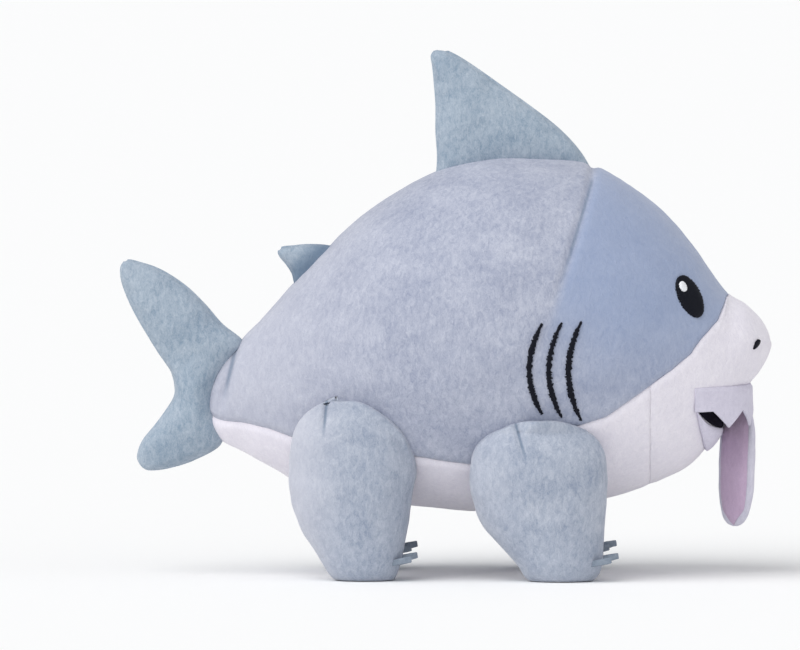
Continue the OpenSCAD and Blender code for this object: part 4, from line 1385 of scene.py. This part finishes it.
# %% [markdown]
# ## The label
# A small blank woven ribbon is caught in the seam under the left flank. It is one thin sheet
# that curls down under its own weight.

# %% Label
LABEL_WIDTH = 12
LABEL_LENGTH = 16
low, high = box_mm("care_label")
label_x = (low[0] + high[0]) / 2
seam_z = high[2] - 0.6
LABEL_ROWS = 34
across, down = net(np.linspace(-1, 1, 26), np.linspace(0, 1, LABEL_ROWS))
x = label_x + across * LABEL_WIDTH / 2
curl = np.radians(30 + 34 * down)
step = LABEL_LENGTH / (LABEL_ROWS - 1)
run_out = np.cumsum(np.cos(curl), axis=1) * step
run_down = np.cumsum(np.sin(curl), axis=1) * step
label = np.stack([x, flank(x, seam_z + 0 * x) - 0.6 + run_out,
                  seam_z - run_down + 0.5 * np.sin(2 * across + 3 * down)], -1)
out = normals_of(label, np.array([0, 0.3, 1.0]) + 0 * label)
ribbon_piece = cloth_piece("woven_label", label + out * 0.16, label - out * 0.16, ribbon)
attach(ribbon_piece, "torso")
declare(["care_label"], "label_cloth")
print("label made")

# %% [markdown]
# ## Floor, light and camera
# The floor is plain and pale. A bright world gives the soft light of a white studio, and two wide
# suns give a gentle direction, with the key from the upper left. The camera has a
# long lens, low and side on, so the toy is seen almost without perspective.

# %% Stage
FLOOR = 30            # metres from the middle of the floor to its sides
floor_mesh = bpy.data.meshes.new("floor")
floor_mesh.from_pydata([(-FLOOR, -FLOOR, 0), (FLOOR, -FLOOR, 0), (FLOOR, FLOOR, 0),
                        (-FLOOR, FLOOR, 0)], [], [(0, 1, 2, 3)])
floor = bpy.data.objects.new("floor", floor_mesh)
bpy.context.scene.collection.objects.link(floor)
floor_paint, shader, place = start_material("floor_paint", Roughness=0.9, Specular_IOR_Level=0.1)
shader.inputs["Base Color"].default_value = (0.97, 0.97, 0.965, 1)
floor_mesh.materials.append(floor_paint)

world = bpy.data.worlds.new("studio")
bpy.context.scene.world = world
world.use_nodes = True
AMBIENT = 0.5
sky = Wire(world.node_tree, None)
seen = sky.node("LightPath", out="Is Camera Ray")
background = world.node_tree.nodes["Background"]
background.inputs["Color"].default_value = (0.97, 0.98, 1, 1)
strength = AMBIENT + (1.0 - AMBIENT) * seen
world.node_tree.links.new(strength.socket, background.inputs["Strength"])


def sun(name, away, soft, power):
    """A lamp that lights the whole floor evenly; soft is how wide it looks, in degrees."""
    data = bpy.data.lights.new(name, "SUN")
    data.angle = math.radians(soft)
    data.energy = power
    lamp = bpy.data.objects.new(name, data)
    bpy.context.scene.collection.objects.link(lamp)
    lamp.rotation_euler = Vector(away).to_track_quat("Z", "Y").to_euler()


sun("key", (-0.55, -0.5, 0.85), 60, 2.0)
sun("fill", (0.8, -0.6, 0.5), 90, 0.35)
print("floor, world and lamps placed")

# %% [markdown]
# The lens is so long, and the camera so far away, that near and far legs look almost the same
# size. Its distance follows from how wide a picture is wanted at the toy.

# %% Camera
LENS = 1000
SENSOR = 36
VIEW_WIDTH = 368.8    # millimetres across the picture at the toy's middle plane
ELEVATION = 3
camera_data = bpy.data.cameras.new("camera")
camera_data.lens = LENS
camera_data.sensor_width = SENSOR
camera_data.clip_end = 100
camera = bpy.data.objects.new("camera", camera_data)
bpy.context.scene.collection.objects.link(camera)
tilt = math.radians(ELEVATION)
aim = Vector((-0.021, 0, 0.1152))
away = Vector((0, -math.cos(tilt), math.sin(tilt)))
camera.location = aim + away * VIEW_WIDTH * MM * LENS / SENSOR
camera.rotation_euler = (-away).to_track_quat("-Z", "Y").to_euler()
bpy.context.scene.camera = camera
bpy.context.scene.view_settings.view_transform = "Standard"
print("camera placed")
